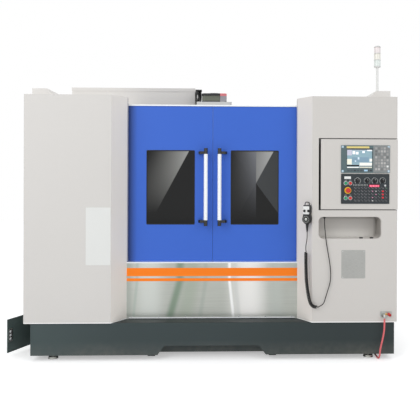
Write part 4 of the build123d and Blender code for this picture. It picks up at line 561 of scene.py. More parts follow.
def spline_points(route: Sequence[Vec]) -> np.ndarray:
    """Points of shape (n, 3) read from the route's own smooth spline.

    Args:
        route: Control points.

    Returns:
        Array of shape (n, 3).
    """
    helper = spline_object("route_line", route, 0.0)
    bpy.context.view_layer.update()
    graph = bpy.context.evaluated_depsgraph_get()
    mesh = bpy.data.meshes.new_from_object(helper.evaluated_get(graph))
    places = np.empty(3 * len(mesh.vertices))
    mesh.vertices.foreach_get("co", places)
    curve = helper.data
    bpy.data.objects.remove(helper)
    bpy.data.curves.remove(curve)
    bpy.data.meshes.remove(mesh)
    return places.reshape(-1, 3)


def running_length(path: np.ndarray) -> np.ndarray:
    """Length of a line up to each of its points."""
    return np.concatenate([[0.0], np.cumsum(np.linalg.norm(np.diff(path, axis=0), axis=1))])


# Shared effects


class Wiring:
    """Short calls to add and join the nodes of one tree."""

    def __init__(self, tree: bpy.types.NodeTree) -> None:
        """Keep the tree."""
        self.tree = tree

    def add(self, kind: str, **settings: object) -> bpy.types.Node:
        """Add a node and set its properties.

        Args:
            kind: Type of the node.
            settings: Its properties.

        Returns:
            The node.
        """
        node = self.tree.nodes.new(kind)
        for key, value in settings.items():
            setattr(node, key, value)
        return node

    def feed(self, target: bpy.types.NodeSocket, value: object) -> None:
        """Link a signal to an input socket, or set a plain value.

        Args:
            target: The input socket.
            value: Signal or plain value.
        """
        if isinstance(value, Signal):
            self.tree.links.new(value.socket, target)
        else:
            target.default_value = value

    def fill(self, node: bpy.types.Node, values: dict) -> None:
        """Feed several inputs of a node, by their names or numbers."""
        for label, value in values.items():
            self.feed(node.inputs[label], value)

    def run(
        self, kind: str, inputs: dict, output: int | str = 0, **settings: object
    ) -> Signal:
        """Add a node, feed its inputs and give one of its outputs.

        Args:
            kind: Type of the node.
            inputs: Signals or plain values by the input's name or number.
            output: Name or number of the output.
            settings: Properties of the node.

        Returns:
            The output as a signal.
        """
        node = self.add(kind, **settings)
        self.fill(node, inputs)
        return Signal(self, node.outputs[output])

    def math(self, operation: str, *values: object) -> Signal:
        """Math node over signals and numbers."""
        return self.run("ShaderNodeMath", dict(enumerate(values)), operation=operation)

    def vector(self, operation: str, *values: object, output: int = 0) -> Signal:
        """Vector math node over signals and vectors; output 1 is a plain value."""
        inputs = dict(enumerate(values))
        return self.run("ShaderNodeVectorMath", inputs, output, operation=operation)

    def mix(self, factor: object, low: object, high: object) -> Signal:
        """Colour mixed from low to high by the factor."""
        return self.run("ShaderNodeMix", {0: factor, 6: low, 7: high}, 2, data_type="RGBA")

    def noise(self, place: object, scale: object, detail: float) -> Signal:
        """Noise texture at a place."""
        inputs = {"Vector": place, "Scale": scale, "Detail": detail}
        return self.run("ShaderNodeTexNoise", inputs)

    def split(self, vector: Signal) -> list[Signal]:
        """The three parts of a vector."""
        node = self.add("ShaderNodeSeparateXYZ")
        self.feed(node.inputs[0], vector)
        return [Signal(self, output) for output in node.outputs]

    def place(self) -> Signal:
        """Object coordinates."""
        return self.run("ShaderNodeTexCoord", {}, "Object")


@dataclass(frozen=True)
class Signal:
    """An output socket; plain arithmetic on it adds Math nodes."""

    wiring: Wiring
    socket: bpy.types.NodeSocket

    def __add__(self, other: object) -> Signal:
        """Sum."""
        return self.wiring.math("ADD", self, other)

    def __sub__(self, other: object) -> Signal:
        """Difference."""
        return self.wiring.math("SUBTRACT", self, other)

    def __rsub__(self, other: float) -> Signal:
        """Difference from a number."""
        return self.wiring.math("SUBTRACT", other, self)

    def __mul__(self, other: object) -> Signal:
        """Product."""
        return self.wiring.math("MULTIPLY", self, other)

    def __truediv__(self, other: object) -> Signal:
        """Quotient."""
        return self.wiring.math("DIVIDE", self, other)

    def __pow__(self, other: float) -> Signal:
        """Power."""
        return self.wiring.math("POWER", self, other)

    def clamped(self) -> Signal:
        """The same Math node with its result kept between zero and one."""
        self.socket.node.use_clamp = True
        return self


class Effect(Enum):
    """Effects that materials share, each with its inputs and their defaults."""

    COAT = {"Color": (0.8, 0.8, 0.8, 1.0), "Tone": 0.04, "Gloss": 0.4, "Peel": 420.0}
    BRUSHED = {"Color": (0.6, 0.6, 0.6, 1.0), "Tone": 0.12, "Gloss": 0.28,
               "Stretch": (4.0, 300.0, 900.0)}
    SLAB_MASK = {"Low": (0.0, 0.0, 0.0), "High": (1.0, 1.0, 1.0), "Soft": 0.0005}
    DISC_MASK = {"Centre": (0.0, 0.0, 0.0), "Radius": 0.02}
    CELLS = {"Origin": (0.0, 0.0, 0.0), "Pitch": (0.02, 1.0, 0.02)}
    WEDGE = {"Point": (0.0, 0.0, 0.0), "Normal": (1.0, 0.0, 0.0), "Reach": 0.2, "Top": 1.7,
             "Fade": 0.5, "Sharpness": 220.0}
    BAND = {"Centre": 0.0, "Width": 0.1, "Strength": 1.0, "Lean": 0.0}
    GRIME = {"Level": 0.0, "Fade": 0.2, "Amount": 0.3}

    @property
    def word(self) -> str:
        """The group's name, and that of the bench's method that wires it."""
        return self.name.lower()


@dataclass
class EffectBench:
    """Wires each shared effect once, as a node group with named inputs and outputs."""

    made: dict[str, bpy.types.NodeTree] = field(default_factory=dict)
    w: Wiring | None = None
    part: dict[str, Signal] = field(default_factory=dict)

    def group(self, effect: Effect) -> bpy.types.NodeTree:
        """The effect's node group, wired on first use.

        Args:
            effect: The effect.

        Returns:
            The group, whose outputs are those that the effect's method names.
        """
        if effect.word in self.made:
            return self.made[effect.word]
        group = bpy.data.node_groups.new(effect.word, "ShaderNodeTree")
        kinds = {3: "NodeSocketVector", 4: "NodeSocketColor"}
        for label, default in effect.value.items():
            kind = kinds[len(default)] if isinstance(default, tuple) else "NodeSocketFloat"
            socket = group.interface.new_socket(label, in_out="INPUT", socket_type=kind)
            socket.default_value = default
        self.w = Wiring(group)
        source = self.w.add("NodeGroupInput")
        self.part = {label: Signal(self.w, source.outputs[label]) for label in effect.value}
        results = getattr(self, effect.word)()
        for label in results:
            kind = "NodeSocketColor" if label == "Color" else "NodeSocketFloat"
            group.interface.new_socket(label, in_out="OUTPUT", socket_type=kind)
        self.w.fill(self.w.add("NodeGroupOutput"), results)
        self.made[effect.word] = group
        return group

    def toned(self, grain: Signal, swing: float) -> Signal:
        """The input colour, brightened and darkened about itself by the grain."""
        bright = (grain - 0.5) * self.part["Tone"] * swing + 1.0
        inputs = {0: self.part["Color"], "Scale": bright}
        return self.w.run("ShaderNodeVectorMath", inputs, operation="SCALE")

    def coat(self) -> dict[str, Signal]:
        """Painted sheet: cloudy tone, fine peel and a little uneven gloss.

        Returns:
            Outputs by name.
        """
        place = self.w.place()
        fine = self.w.noise(place, 38.0, 2.0)
        return {
            "Color": self.toned(self.w.noise(place, 1.3, 4.0) * 0.7 + fine * 0.3, 2.0),
            "Roughness": self.part["Gloss"] + fine * 0.08,
            "Height": self.w.noise(place, self.part["Peel"], 2.0),
        }

    def brushed(self) -> dict[str, Signal]:
        """Brushed metal: noise drawn out along one axis for colour, gloss and height.

        Returns:
            Outputs by name.
        """
        place = self.w.place()
        grain = self.w.noise(self.w.vector("MULTIPLY", place, self.part["Stretch"]), 1.0, 5.0)
        return {
            "Color": self.toned(grain * 0.6 + self.w.noise(place, 2.2, 3.0) * 0.4, 3.0),
            "Roughness": self.part["Gloss"] + grain * 0.12,
            "Height": grain,
        }

    def slab_mask(self) -> dict[str, Signal]:
        """One inside a box and zero outside: the product of six softened steps.

        Returns:
            Outputs by name.
        """
        w, place, soft = self.w, self.w.place(), self.part["Soft"]
        past = w.split(w.vector("SUBTRACT", place, self.part["Low"]))
        short = w.split(w.vector("SUBTRACT", self.part["High"], place))
        total, *others = [(gap / soft + 0.5).clamped() for gap in (*past, *short)]
        for other in others:
            total = total * other
        return {"Mask": total}

    def disc_mask(self) -> dict[str, Signal]:
        """One inside a circle on planes that face the operator, and zero outside.

        Returns:
            Outputs by name.
        """
        gap = self.w.vector("SUBTRACT", self.w.place(), self.part["Centre"])
        flat = self.w.vector("MULTIPLY", gap, (1.0, 0.0, 1.0))
        inside = self.part["Radius"] - self.w.vector("LENGTH", flat, output=1)
        return {"Mask": (inside * 2500.0 + 0.5).clamped()}

    def cells(self) -> dict[str, Signal]:
        """A value of its own for each key of a field that faces the operator.

        Returns:
            Outputs by name.
        """
        gap = self.w.vector("SUBTRACT", self.w.place(), self.part["Origin"])
        whole = self.w.vector("FLOOR", self.w.vector("DIVIDE", gap, self.part["Pitch"]))
        column, _, row = self.w.split(whole)
        flat = self.w.run("ShaderNodeCombineXYZ", {0: column, 1: row})
        chance = self.w.run("ShaderNodeTexWhiteNoise", {"Vector": flat}, noise_dimensions="2D")
        return {"Value": chance}

    def wedge(self) -> dict[str, Signal]:
        """Mirror light on a pane: brightest at a slanting edge, fading away from it and down.

        The distance to the edge is the dot product of the place less a point on the edge
        with the edge's normal; the mask is zero past the edge, falls off as a power of the
        distance over the reach, and falls in height from the top over the fade.

        Returns:
            Outputs by name.
        """
        place = self.w.place()
        gap = self.w.vector("SUBTRACT", place, self.part["Point"])
        distance = self.w.vector("DOT_PRODUCT", gap, self.part["Normal"], output=1)
        inside = (distance * self.part["Sharpness"] + 0.5).clamped()
        away = (1.0 - distance / self.part["Reach"]).clamped()
        drop = self.part["Top"] - self.w.split(place)[2]
        high = (1.0 - drop / self.part["Fade"]).clamped()
        return {"Mask": inside * away**1.6 * high**1.3}

    def band(self) -> dict[str, Signal]:
        """Upright soft stripe: one at its middle, falling smoothly to zero at its width.

        Below the lean's level the middle moves sideways by the lean times the depth.

        Returns:
            Outputs by name.
        """
        side, _, height = self.w.split(self.w.place())
        middle = (0.62 - height).clamped() * self.part["Lean"] + self.part["Centre"]
        gap = self.w.math("ABSOLUTE", side - middle)
        inputs = {"Value": gap / self.part["Width"], "To Min": 1.0, "To Max": 0.0}
        near = self.w.run("ShaderNodeMapRange", inputs, interpolation_type="SMOOTHERSTEP")
        return {"Mask": near * self.part["Strength"]}

    def grime(self) -> dict[str, Signal]:
        """Dust that thins out upwards from a level, broken up by noise.

        Returns:
            Outputs by name.
        """
        place = self.w.place()
        above = self.w.split(place)[2] - self.part["Level"]
        low = (1.0 - above / self.part["Fade"]).clamped()
        broken = self.w.noise(place, 22.0, 6.0) * self.w.noise(place, 3.0, 3.0) * 3.2
        return {"Mask": low * broken * self.part["Amount"]}


# Finishes


def linear(tone: Tone) -> tuple[float, float, float, float]:
    """Linear colour of a display colour: the standard display curve undone per channel."""
    parts = np.array(tone) / 255.0
    parts = np.where(parts <= 0.04045, parts / 12.92, ((parts + 0.055) / 1.055) ** 2.4)
    return (*(float(part) for part in parts), 1.0)


@dataclass(frozen=True)
class Layer:
    """A second colour laid over a finish where a shared effect's mask is one."""

    effect: Effect
    tone: Tone
    values: dict[str, object]

    def shade(self, w: Wiring, bench: EffectBench) -> object:
        """The layer's own colour."""
        return linear(self.tone)

    def over(self, color: Signal, w: Wiring, bench: EffectBench) -> Signal:
        """The colour beneath, mixed with the layer's own by the effect's mask."""
        mask = w.run("ShaderNodeGroup", self.values, node_tree=bench.group(self.effect))
        return w.mix(mask, color, self.shade(w, bench))


@dataclass(frozen=True)
class KeyField(Layer):
    """A box whose keys take the layer's colour or another one by chance."""

    other: Tone
    origin: Vec
    pitch: Vec

    def shade(self, w: Wiring, bench: EffectBench) -> object:
        """One of the two colours for each key."""
        inputs = {"Origin": self.origin, "Pitch": self.pitch}
        chance = w.run("ShaderNodeGroup", inputs, node_tree=bench.group(Effect.CELLS))
        return w.mix(chance, linear(self.tone), linear(self.other))


def box(tone: Tone, low: Vec, high: Vec, soft: float = 0.0005) -> Layer:
    """A colour inside a box, with soft sides."""
    return Layer(Effect.SLAB_MASK, tone, {"Low": low, "High": high, "Soft": soft})


def stripe(tone: Tone, centre: float, width: float, strength: float, lean: float = 0.0) -> Layer:
    """An upright soft stripe of painted light, that may lean towards its foot; in a dark colour it
    is painted shade.
    """
    return Layer(Effect.BAND, tone, {"Centre": centre, "Width": width, "Strength": strength,
                                     "Lean": lean})


def painted_light_wedge(
    tone: Tone, point: Vec, normal: Pair, reach: float, heights: Pair, sharpness: float = 220.0
) -> Layer:
    """A wedge of painted light on one side of a slanting edge: a reflection on a pane, and, in a
    dark colour, painted shade on a door.

    Args:
        tone: Its colour.
        point: A point of the edge.
        normal: Direction away from the edge, in x and z.
        reach: How far the light falls off.
        heights: Height at which it is full, and how far below it ends.
        sharpness: How sharp the edge is.

    Returns:
        The layer.
    """
    return Layer(Effect.WEDGE, tone, {
        "Point": point, "Normal": (normal[0], 0.0, normal[1]), "Reach": reach,
        "Top": heights[0], "Fade": heights[1], "Sharpness": sharpness})


def dust(level: float, fade: float, amount: float) -> Layer:
    """Dust above a level, as far up as it fades."""
    return Layer(Effect.GRIME, (150, 146, 136), {"Level": level, "Fade": fade, "Amount": amount})


@dataclass(frozen=True)
class Finish:
    """A surface finish: colour, gloss and the values of the shared effect it uses."""

    name: str
    tone: Tone
    gloss: float = 0.4
    variation: float = 0.04
    bump: float = 0.04
    peel: float = 420.0
    metallic: float = 0.0
    clearcoat: float = 0.0
    specular: float = 0.5
    stretch: Vec | None = None
    layers: tuple[Layer, ...] = ()
    dusting: tuple[Layer, ...] = ()
    glow: float = 0.0

    def varied(self, name: str, *layers: Layer, **changes: object) -> Finish:
        """This finish under another name, with layers and some values changed."""
        return replace(self, name=name, layers=layers, **changes)

    def material(self, bench: EffectBench) -> bpy.types.Material:
        """Principled material fed by the shared effects.

        Args:
            bench: Where the shared effects are wired.

        Returns:
            The new material.
        """
        material = bpy.data.materials.new(self.name)
        material.use_nodes = True
        w = Wiring(material.node_tree)
        shader = material.node_tree.nodes["Principled BSDF"]
        grain = {"Stretch": self.stretch} if self.stretch else {"Peel": self.peel}
        group = bench.group(Effect.BRUSHED if self.stretch else Effect.COAT)
        inputs = {"Color": linear(self.tone), "Tone": self.variation, "Gloss": self.gloss, **grain}
        color = w.run("ShaderNodeGroup", inputs, "Color", node_tree=group)
        effect = color.socket.node
        for layer in (*self.layers, *self.dusting):
            color = layer.over(color, w, bench)
        height = Signal(w, effect.outputs["Height"])
        bump = {"Strength": self.bump, "Distance": 0.0004, "Height": height}
        values = {
            "Base Color": color,
            "Roughness": Signal(w, effect.outputs["Roughness"]),
            "Normal": w.run("ShaderNodeBump", bump, "Normal"),
            "Metallic": self.metallic,
            "Coat Weight": self.clearcoat,
            "Coat Roughness": 0.12,
            "Specular IOR Level": self.specular,
        }
        if self.glow:
            values |= {"Emission Color": color, "Emission Strength": self.glow}
        w.fill(shader, values)
        return material


# Painted shade: near-black laid where the gap around the console lies in shade
GAP_SHADE: Tone = (24, 25, 26)
FINISHES: dict[str, Finish] = {
    finish.name: finish
    for finish in (
        Finish("hood_coat", (213, 210, 206), 0.42, 0.03, 0.05),
        # The hood paint made a little darker for the right hood and the console: painted shade
        Finish("hood_coat_shaded", (211, 207, 202), 0.42, 0.03, 0.05),
        Finish("roof_coat", (226, 223, 219), 0.45, 0.03, 0.05),
        Finish("door_blue", (58, 104, 204), 0.4, 0.04, 0.05, clearcoat=0.08, specular=0.3),
        Finish("base_dark", (56, 67, 68), 0.46, 0.10, 0.08, specular=0.35,
               dusting=(dust(0.04, 0.12, 0.2),)),
        # The base's dark paint made lighter for the ajar side door: painted light that makes up for
        # the shade it stands in
        Finish("side_door_lightened", (82, 96, 94), 0.38, 0.12, 0.08),
        Finish("casting_grey", (150, 154, 152), 0.55, 0.14, 0.5, peel=90.0),
        Finish("head_grey", (168, 170, 166), 0.5, 0.10, 0.4, peel=110.0),
        Finish("stainless_brushed", (190, 192, 186), 0.26, 0.35, 0.12, metallic=1.0,
               stretch=(3.0, 300.0, 700.0)),
        Finish("apron_sheet", (186, 189, 181), 0.27, 0.30, 0.12, metallic=0.8,
               stretch=(3.0, 300.0, 700.0)),
        Finish("ground_steel", (196, 198, 200), 0.2, 0.16, 0.1, metallic=1.0,
               stretch=(500.0, 500.0, 60.0)),
        Finish("table_iron", (150, 152, 152), 0.3, 0.22, 0.15, metallic=1.0,
               stretch=(10.0, 500.0, 500.0)),
        Finish("black_satin", (26, 27, 28), 0.36, 0.10, 0.08),
        Finish("motor_black", (30, 31, 34), 0.45, 0.12, 0.3, peel=160.0),
        Finish("chrome", (214, 216, 218), 0.08, 0.05, 0.02, metallic=1.0),
        Finish("brass", (206, 168, 98), 0.24, 0.12, 0.05, metallic=1.0),
        Finish("label_pale", (170, 172, 172), 0.45, 0.04, 0.02),
        Finish("nozzle_blue", (52, 82, 150), 0.35, 0.05, 0.05),
        Finish("plate_grey", (176, 176, 172), 0.4, 0.3, 0.1, metallic=0.3,
               stretch=(40.0, 40.0, 420.0)),
        Finish("zinc", (184, 186, 182), 0.32, 0.2, 0.1, metallic=1.0,
               dusting=(dust(0.0, 0.08, 0.3),)),
        Finish("white_tube", (250, 253, 255), 0.24, 0.02, 0.03, clearcoat=0.4),
        Finish("panel_black", (38, 46, 50), 0.46, 0.10, 0.25, peel=700.0),
        Finish("bezel_teal", (86, 105, 108), 0.42, 0.10, 0.2, peel=700.0),
        Finish("black_plastic", (22, 22, 24), 0.38, 0.08, 0.2, peel=600.0),
        Finish("white_plastic", (236, 237, 235), 0.36, 0.03, 0.1, peel=600.0),
        Finish("plate_white", (226, 227, 224), 0.4, 0.03, 0.08),
        Finish("red_plastic", (206, 30, 24), 0.26, 0.04, 0.05, clearcoat=0.4),
        Finish("green_plastic", (20, 148, 98), 0.26, 0.04, 0.05, clearcoat=0.4),
        Finish("rubber_black", (24, 24, 24), 0.6, 0.10, 0.2, peel=500.0),
        Finish("cord_black", (20, 19, 18), 0.5, 0.10, 0.15, peel=500.0),
        Finish("hose_red", (228, 108, 112), 0.36, 0.06, 0.05),
        Finish("glass_tint", (13, 14, 14), 0.05, 0.02, 0.0, specular=0.3),
        Finish("lamp_clear", (232, 232, 230), 0.2, 0.02, 0.02),
    )
}


@dataclass(frozen=True)
class Trim:
    """What a fitting is made of: its finish and the record's material slot."""

    finish: str | Finish
    slot: str


RUBBER = Trim("rubber_black", "black_plastic")
BLACK = Trim("black_plastic", "black_plastic")
SATIN = Trim("black_satin", "black_paint")
CHROME = Trim("chrome", "chrome_plate")
ZINC = Trim("zinc", "chrome_plate")
COVER = Trim("roof_coat", "pale_paint")
PLATE = Trim("plate_grey", "stainless")
WHITE = Trim("white_plastic", "grey_plastic")
PALE = Trim("label_pale", "grey_plastic")


@dataclass
class Paintbox:
    """Materials by finish name, each made once."""

    bench: EffectBench = field(default_factory=EffectBench)
    made: dict[str, bpy.types.Material] = field(default_factory=dict)

    def get(self, finish: str | Finish) -> bpy.types.Material:
        """The material of a named finish, or of a finish of a piece's own.

        Args:
            finish: Name in FINISHES, or a finish.

        Returns:
            The material.
        """
        chosen = FINISHES[finish] if isinstance(finish, str) else finish
        if chosen.name not in self.made:
            self.made[chosen.name] = chosen.material(self.bench)
        return self.made[chosen.name]


@dataclass
class Assembly:
    """Common to all sub-assemblies: nodes, paintbox, pieces made and the usual body."""

    nodes: dict[str, Piece]
    paint: Paintbox
    made: list[str] = field(default_factory=list)
    carrier: str = "frame"

    def dress(self, finish: str | Finish, *nodes: str) -> None:
        """Give frame nodes their material.

        Args:
            finish: Name in FINISHES, or a finish.
            nodes: Names of the nodes.
        """
        for node in nodes:
            slots = self.nodes[node].data.materials
            slots.clear()
            slots.append(self.paint.get(finish))
            self.made.append(node)

    def fit(self, piece: Piece, trim: Trim, body: str = "") -> Piece:
        """Paint a new piece and let it ride on a body.

        Args:
            piece: The new object; a joined one keeps the materials it has.
            trim: Its finish and slot.
            body: Body that carries it, or nothing for the usual one.

        Returns:
            The piece.
        """
        if not piece.data.materials:
            piece.data.materials.append(self.paint.get(trim.finish))
        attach(piece, body or self.carrier)
        self.made.append(piece.name)
        return piece

    def build(self) -> None:
        """Build and dress the sub-assembly."""
        raise NotImplementedError


# Sub-assemblies


@dataclass
class Enclosure(Assembly):
    """Hoods, side covers, roof, header, apron and base."""

    bands: tuple[Pair, ...] = ((0.656, 0.724), (0.615, 0.639))
    notice: Area = Area(-1.006, -0.810, 0.770, 1.230)
    info_plate: Area = Area(1.044, 1.238, 0.661, 0.890)
    rivet_inset: float = 0.010
    recess: Area = Area(0.858, 1.368, 0.982, 1.158)
    fold: Pair = (0.69, 0.8055)
    hem: Pair = (0.300, 0.3115)
    side_x: float = 1.500
    hatch: Pair = (0.56, 0.86)
    hatch_y: float = -0.16
    hatch_z: float = 1.22
    vent_drop: float = 0.22
    latch_share: float = 0.42
    screw_run: Pair = (-0.92, 0.66)
    screw_zs: Pair = (0.330, 2.095)
    apron_y: float = -1.011
    apron_width: float = 1.376
    apron_screw_z: float = 0.322
    door_out: Pair = (0.9063, -0.4226)
    latch_along: float = -0.222

    def build(self) -> None:
        """Dress the sheet metal and add its trims and fasteners."""
        self.dress(FINISHES["hood_coat"].varied(
            "hood_left", *self.hood_layers(Side.LEFT, (238, 233, 226))), "left_hood")
        self.dress(self.right_hood_finish(), "right_hood")
        self.dress("roof_coat", "left_side_cover", "right_side_cover", "magazine_cover")
        self.dress("white_tube", "door_header")
        self.dress("stainless_brushed", "splash_panels")
        # The skirt's paint with painted light towards its left end, painted shade towards its right
        # end and a painted shadow along its top under the apron
        self.dress(FINISHES["base_dark"].varied(
            "skirt_painted_shade", stripe((34, 42, 42), 1.45, 2.1, 0.55),
            stripe((72, 86, 86), -1.5, 0.9, 0.5),
            box((34, 42, 43), (-1.7, -1.30, 0.3035), (1.7, 0.9, 0.3065))), "base_skirt")
        self.dress("side_door_lightened", "side_door")
        self.dress("zinc", "levelling_feet")
        self.dress("base_dark", "coolant_tank")
        self.dress(self.apron_finish(), "front_apron")
        self.blank_plates()
        self.side_hatches()
        self.cover_screws()
        self.apron_trim()
        self.bay_shade_sheets()
        self.side_door_fittings()
        self.recess_fittings()
        self.pocket_shade_strip()

    def hood_layers(self, side: Side, tone: Tone) -> tuple[Layer, Layer]:
        """Painted light on the hood: a lighter strip on its inner fold, and a painted highlight
        along its lower edge.

        Args:
            side: Which hood.
            tone: Colour of the painted light on the fold.

        Returns:
            Both layers.
        """
        near, far = sorted(side.value * place for place in self.fold)
        low, high = self.hem
        return (box(tone, (near, -1.1497, 0.2), (far, -1.0, 2.2), 0.0008),
                box((252, 252, 250), (-1.6, -1.2, low), (1.6, -0.9, high)))

    def right_hood_finish(self) -> Finish:
        """Shaded hood paint, with painted light on the recess's floor, painted shade on its flank,
        ceiling and rim, and painted shade in the gap around the console.

        Returns:
            The finish.
        """
        left, right = self.recess.left, self.recess.right
        low, high = self.recess.low, self.recess.high
        return FINISHES["hood_coat_shaded"].varied(
            "hood_right", *self.hood_layers(Side.RIGHT, (231, 226, 220)),
            # Painted light on the recess floor, then painted shade on its flank, ceiling and upper
            # rim
            box((232, 229, 224), (left, -1.1, low - 0.04), (right - 0.04, -0.9, low + 0.05), 0.05),
            box((150, 146, 141), (right - 0.012, -1.130, low - 0.05),
                (right + 0.05, -0.9, high + 0.05), 0.030),
            box((118, 114, 109), (left - 0.05, -1.100, high - 0.012),
                (right + 0.05, -0.9, high + 0.1), 0.045),
            box((40, 39, 38), (left - 0.01, -1.1485, high - 0.020),
                (left + 0.33, -1.128, high + 0.02), 0.002),
            # Painted shade in the gap between the hood's pocket and the console
            box(GAP_SHADE, (0.857, -1.1485, 1.211), (1.52, -1.10, 1.794)))

    def apron_finish(self) -> Finish:
        """Brushed sheet with painted reflections as streaks of light, a painted brightening along
        its foot, orange bands and a white track edge.

        Returns:
            The finish.
        """
        streaks = (
            ((212, 216, 210), -0.52, 0.20, 0.9),
            ((170, 184, 174), -0.62, 0.022, 0.55, -0.10),
            ((134, 152, 134), -0.265, 0.060, 0.95, -0.28),
            ((166, 177, 160), -0.17, 0.12, 0.6, -0.20),
            ((156, 168, 158), -0.055, 0.032, 0.35, -0.15),
            ((240, 239, 235), 0.30, 0.25, 1.0),
            ((206, 208, 204), 0.187, 0.036, 0.5, 0.11),
            ((255, 255, 253), 0.142, 0.021, 1.0, 0.11),
            ((168, 176, 170), 0.505, 0.016, 0.35, 0.08),
            ((192, 197, 190), 0.53, 0.11, 0.8),
            ((168, 174, 166), -0.70, 0.06, 0.7),
        )
        return FINISHES["apron_sheet"].varied(
            "apron_banded", *(stripe(*streak) for streak in streaks),
            # Painted light: the sheet brightened along its foot
            box((240, 244, 238), (-1.6, -1.02, 0.25), (1.6, -0.9, 0.318), 0.030),
            *(box((255, 133, 38), (-0.72, -1.02, low), (0.72, -1.0, high))
              for low, high in self.bands),
            box((250, 252, 253), (-1.6, -1.02, 0.764), (1.6, -0.9, 0.78)))

    def blank_plates(self) -> None:
        """Bare plates where the hoods carry their notices: one white, one brushed, riveted."""
        for name, area, thickness, corner, trim in (
                ("blank_white_plate", self.notice, 0.0008, 0.004,
                 Trim("plate_white", "grey_plastic")),
                ("info_plate", self.info_plate, 0.0010, 0.006, PLATE)):
            self.fit(slab(name, area.seat(), area.size, thickness, corner), trim)
        corners = self.info_plate.corners(self.rivet_inset)
        head = [(0.0030, -0.0003), (0.0028, 0.0007), (0.0018, 0.0013), (0.0006, 0.0015)]
        seat = front_seat(y=FRONT_Y - 0.001)
        self.fit(turned("plate_rivets", seat, head, 10, corners), CHROME)

    def side_seat(self, side: Side, y: float, z: float, lift: float = 0.0) -> Seat:
        """A seat on the outer wall of a side cover."""
        sign = side.value
        return Seat((sign * (self.side_x + lift), y, z), (0.0, sign, 0.0), outward=(sign, 0.0, 0.0))

    def side_hatches(self) -> None:
        """Service hatch with its seal, latches and vent louvres on both side covers."""
        width, height = self.hatch
        seal = [(0.0, -SINK), (0.0, 0.0010), (0.006, 0.0010), (0.006, -SINK)]
        barrel = [(0.015, -SINK), (0.015, 0.002), (0.0125, 0.004), (0.011, 0.004),
                  (0.0105, 0.0025)]
        pair = lattice(zs=(0.22 * height, -0.22 * height))
        for side in Side:
            y, z = self.hatch_y, self.hatch_z
            seat = self.side_seat(side, y, z)
            latch = self.side_seat(side, y - width * self.latch_share, z, 0.003)
            vent = self.side_seat(side, y, z - self.vent_drop, 0.003)
            name = f"{side.word}_hatch"
            self.fit(slab(name, seat, self.hatch, 0.0030, 0.012, 0.0012, steps=6), COVER)
            self.fit(rim(f"{name}_seal", seat, (width + 0.012, height + 0.012), 0.016, seal),
                     RUBBER)
            self.fit(turned(f"{name}_latches", latch, barrel, spots=pair), CHROME)
            piece = slab(f"{side.word}_latch_keys", latch, (0.0035, 0.016), 0.0048, 0.001,
                         spots=pair, sink=-0.002)
            self.fit(piece, BLACK)
            rows = lattice(zs=spread(10, 0.024))
            self.fit(louvres(f"{name}_louvres", vent, (0.24, 0.012, 0.006), rows), COVER)

    def cover_screws(self) -> None:
        """Rows of screws along the side covers' edges; none where the side door swings."""
        for side in Side:
            spots = lattice(ys=np.linspace(*self.screw_run, 9), zs=self.screw_zs)
            if side is Side.LEFT:
                spots = spots[(spots[:, 1] > -0.50) | (spots[:, 2] > 1.0)]
            seat = self.side_seat(side, 0.0, 0.0)
            self.fit(socket_screws(f"{side.word}_cover_screws", seat, 0.0065, 0.0036, spots), ZINC)

    def apron_trim(self) -> None:
        """Screws of the apron sheet, and a bright strip on its bent lower edge that paints its
        highlight, over a dark seam at its foot.
        """
        seat = front_seat(y=self.apron_y)
        spots = lattice(spread(7, 0.220), zs=(self.apron_screw_z,))
        self.fit(socket_screws("apron_screws", seat, 0.0050, 0.0026, spots), CHROME)
        for name, z, height, trim in (
                ("apron_edge_highlight", 0.3125, 0.0080, Trim("white_tube", "stainless")),
                ("apron_seam", 0.3063, 0.0042, RUBBER)):
            piece = slab(name, seat.moved(0.0, z), (self.apron_width, height), 0.0022, 0.0006,
                         0.0004)
            self.fit(piece, trim)

    def bay_shade_sheets(self) -> None:
        """Dark tray and end plate inside the base, behind the side door: satin-black sheets that
        also paint the shade inside the bay.
        """
        end = Seat((-1.052, -0.830, 0.172), (0, -1, 0), (0, 0, 1), (-1, 0, 0))
        for name, seat, size in (("bay_tray", floor_seat(-1.245, -0.830, 0.0465), (0.386, 0.570)),
                                 ("bay_end", end, (0.570, 0.246))):
            self.fit(slab(name, seat, size, 0.0020, edge=0.0004), SATIN)

    def side_door_fittings(self) -> None:
        """Quarter-turn latches and their plate on the ajar side door."""
        out_x, out_y = self.door_out
        door = Seat((-1.5667, -0.7798, 0.1665), (-out_y, out_x, 0.0), outward=(out_x, out_y, 0.0))
        seat = door.moved(self.latch_along, 0.0)
        barrel = [(0.0125, -SINK), (0.0125, 0.003), (0.009, 0.0065), (0.0045, 0.0065),
                  (0.0045, 0.004)]
        spots = lattice(zs=(-0.03, 0.0, 0.03))
        self.fit(turned("side_door_latches", seat, barrel, 16, spots), CHROME, "side_door_body")
        piece = slab("side_door_latch_plate", seat, (0.040, 0.110), 0.0012, 0.005)
        self.fit(piece, ZINC, "side_door_body")

    def recess_fittings(self) -> None:
        """Dark rubber stops on the floor of the open shelf."""
        piece = slab("shelf_stops", floor_seat(1.292, -1.136, 0.9825), (0.026, 0.014), 0.010,
                     0.003, 0.001, lattice((0.0, -0.085)))
        self.fit(piece, RUBBER)

    def pocket_shade_strip(self) -> None:
        """Black edge strips along the upper, lower and inner rim of the console's pocket: painted
        shade for the gap around the console.
        """
        for name, x, z, size in (
                ("pocket_seal_top", 1.1790, 1.7915, (0.636, 0.0030)),
                ("pocket_seal_low", 1.1790, 1.2135, (0.636, 0.0030)),
                ("pocket_seal_side", 0.8595, 1.5025, (0.0030, 0.581))):
            self.fit(slab(name, front_seat(x, z), size, 0.0012, 0.0006, 0.0004), RUBBER)


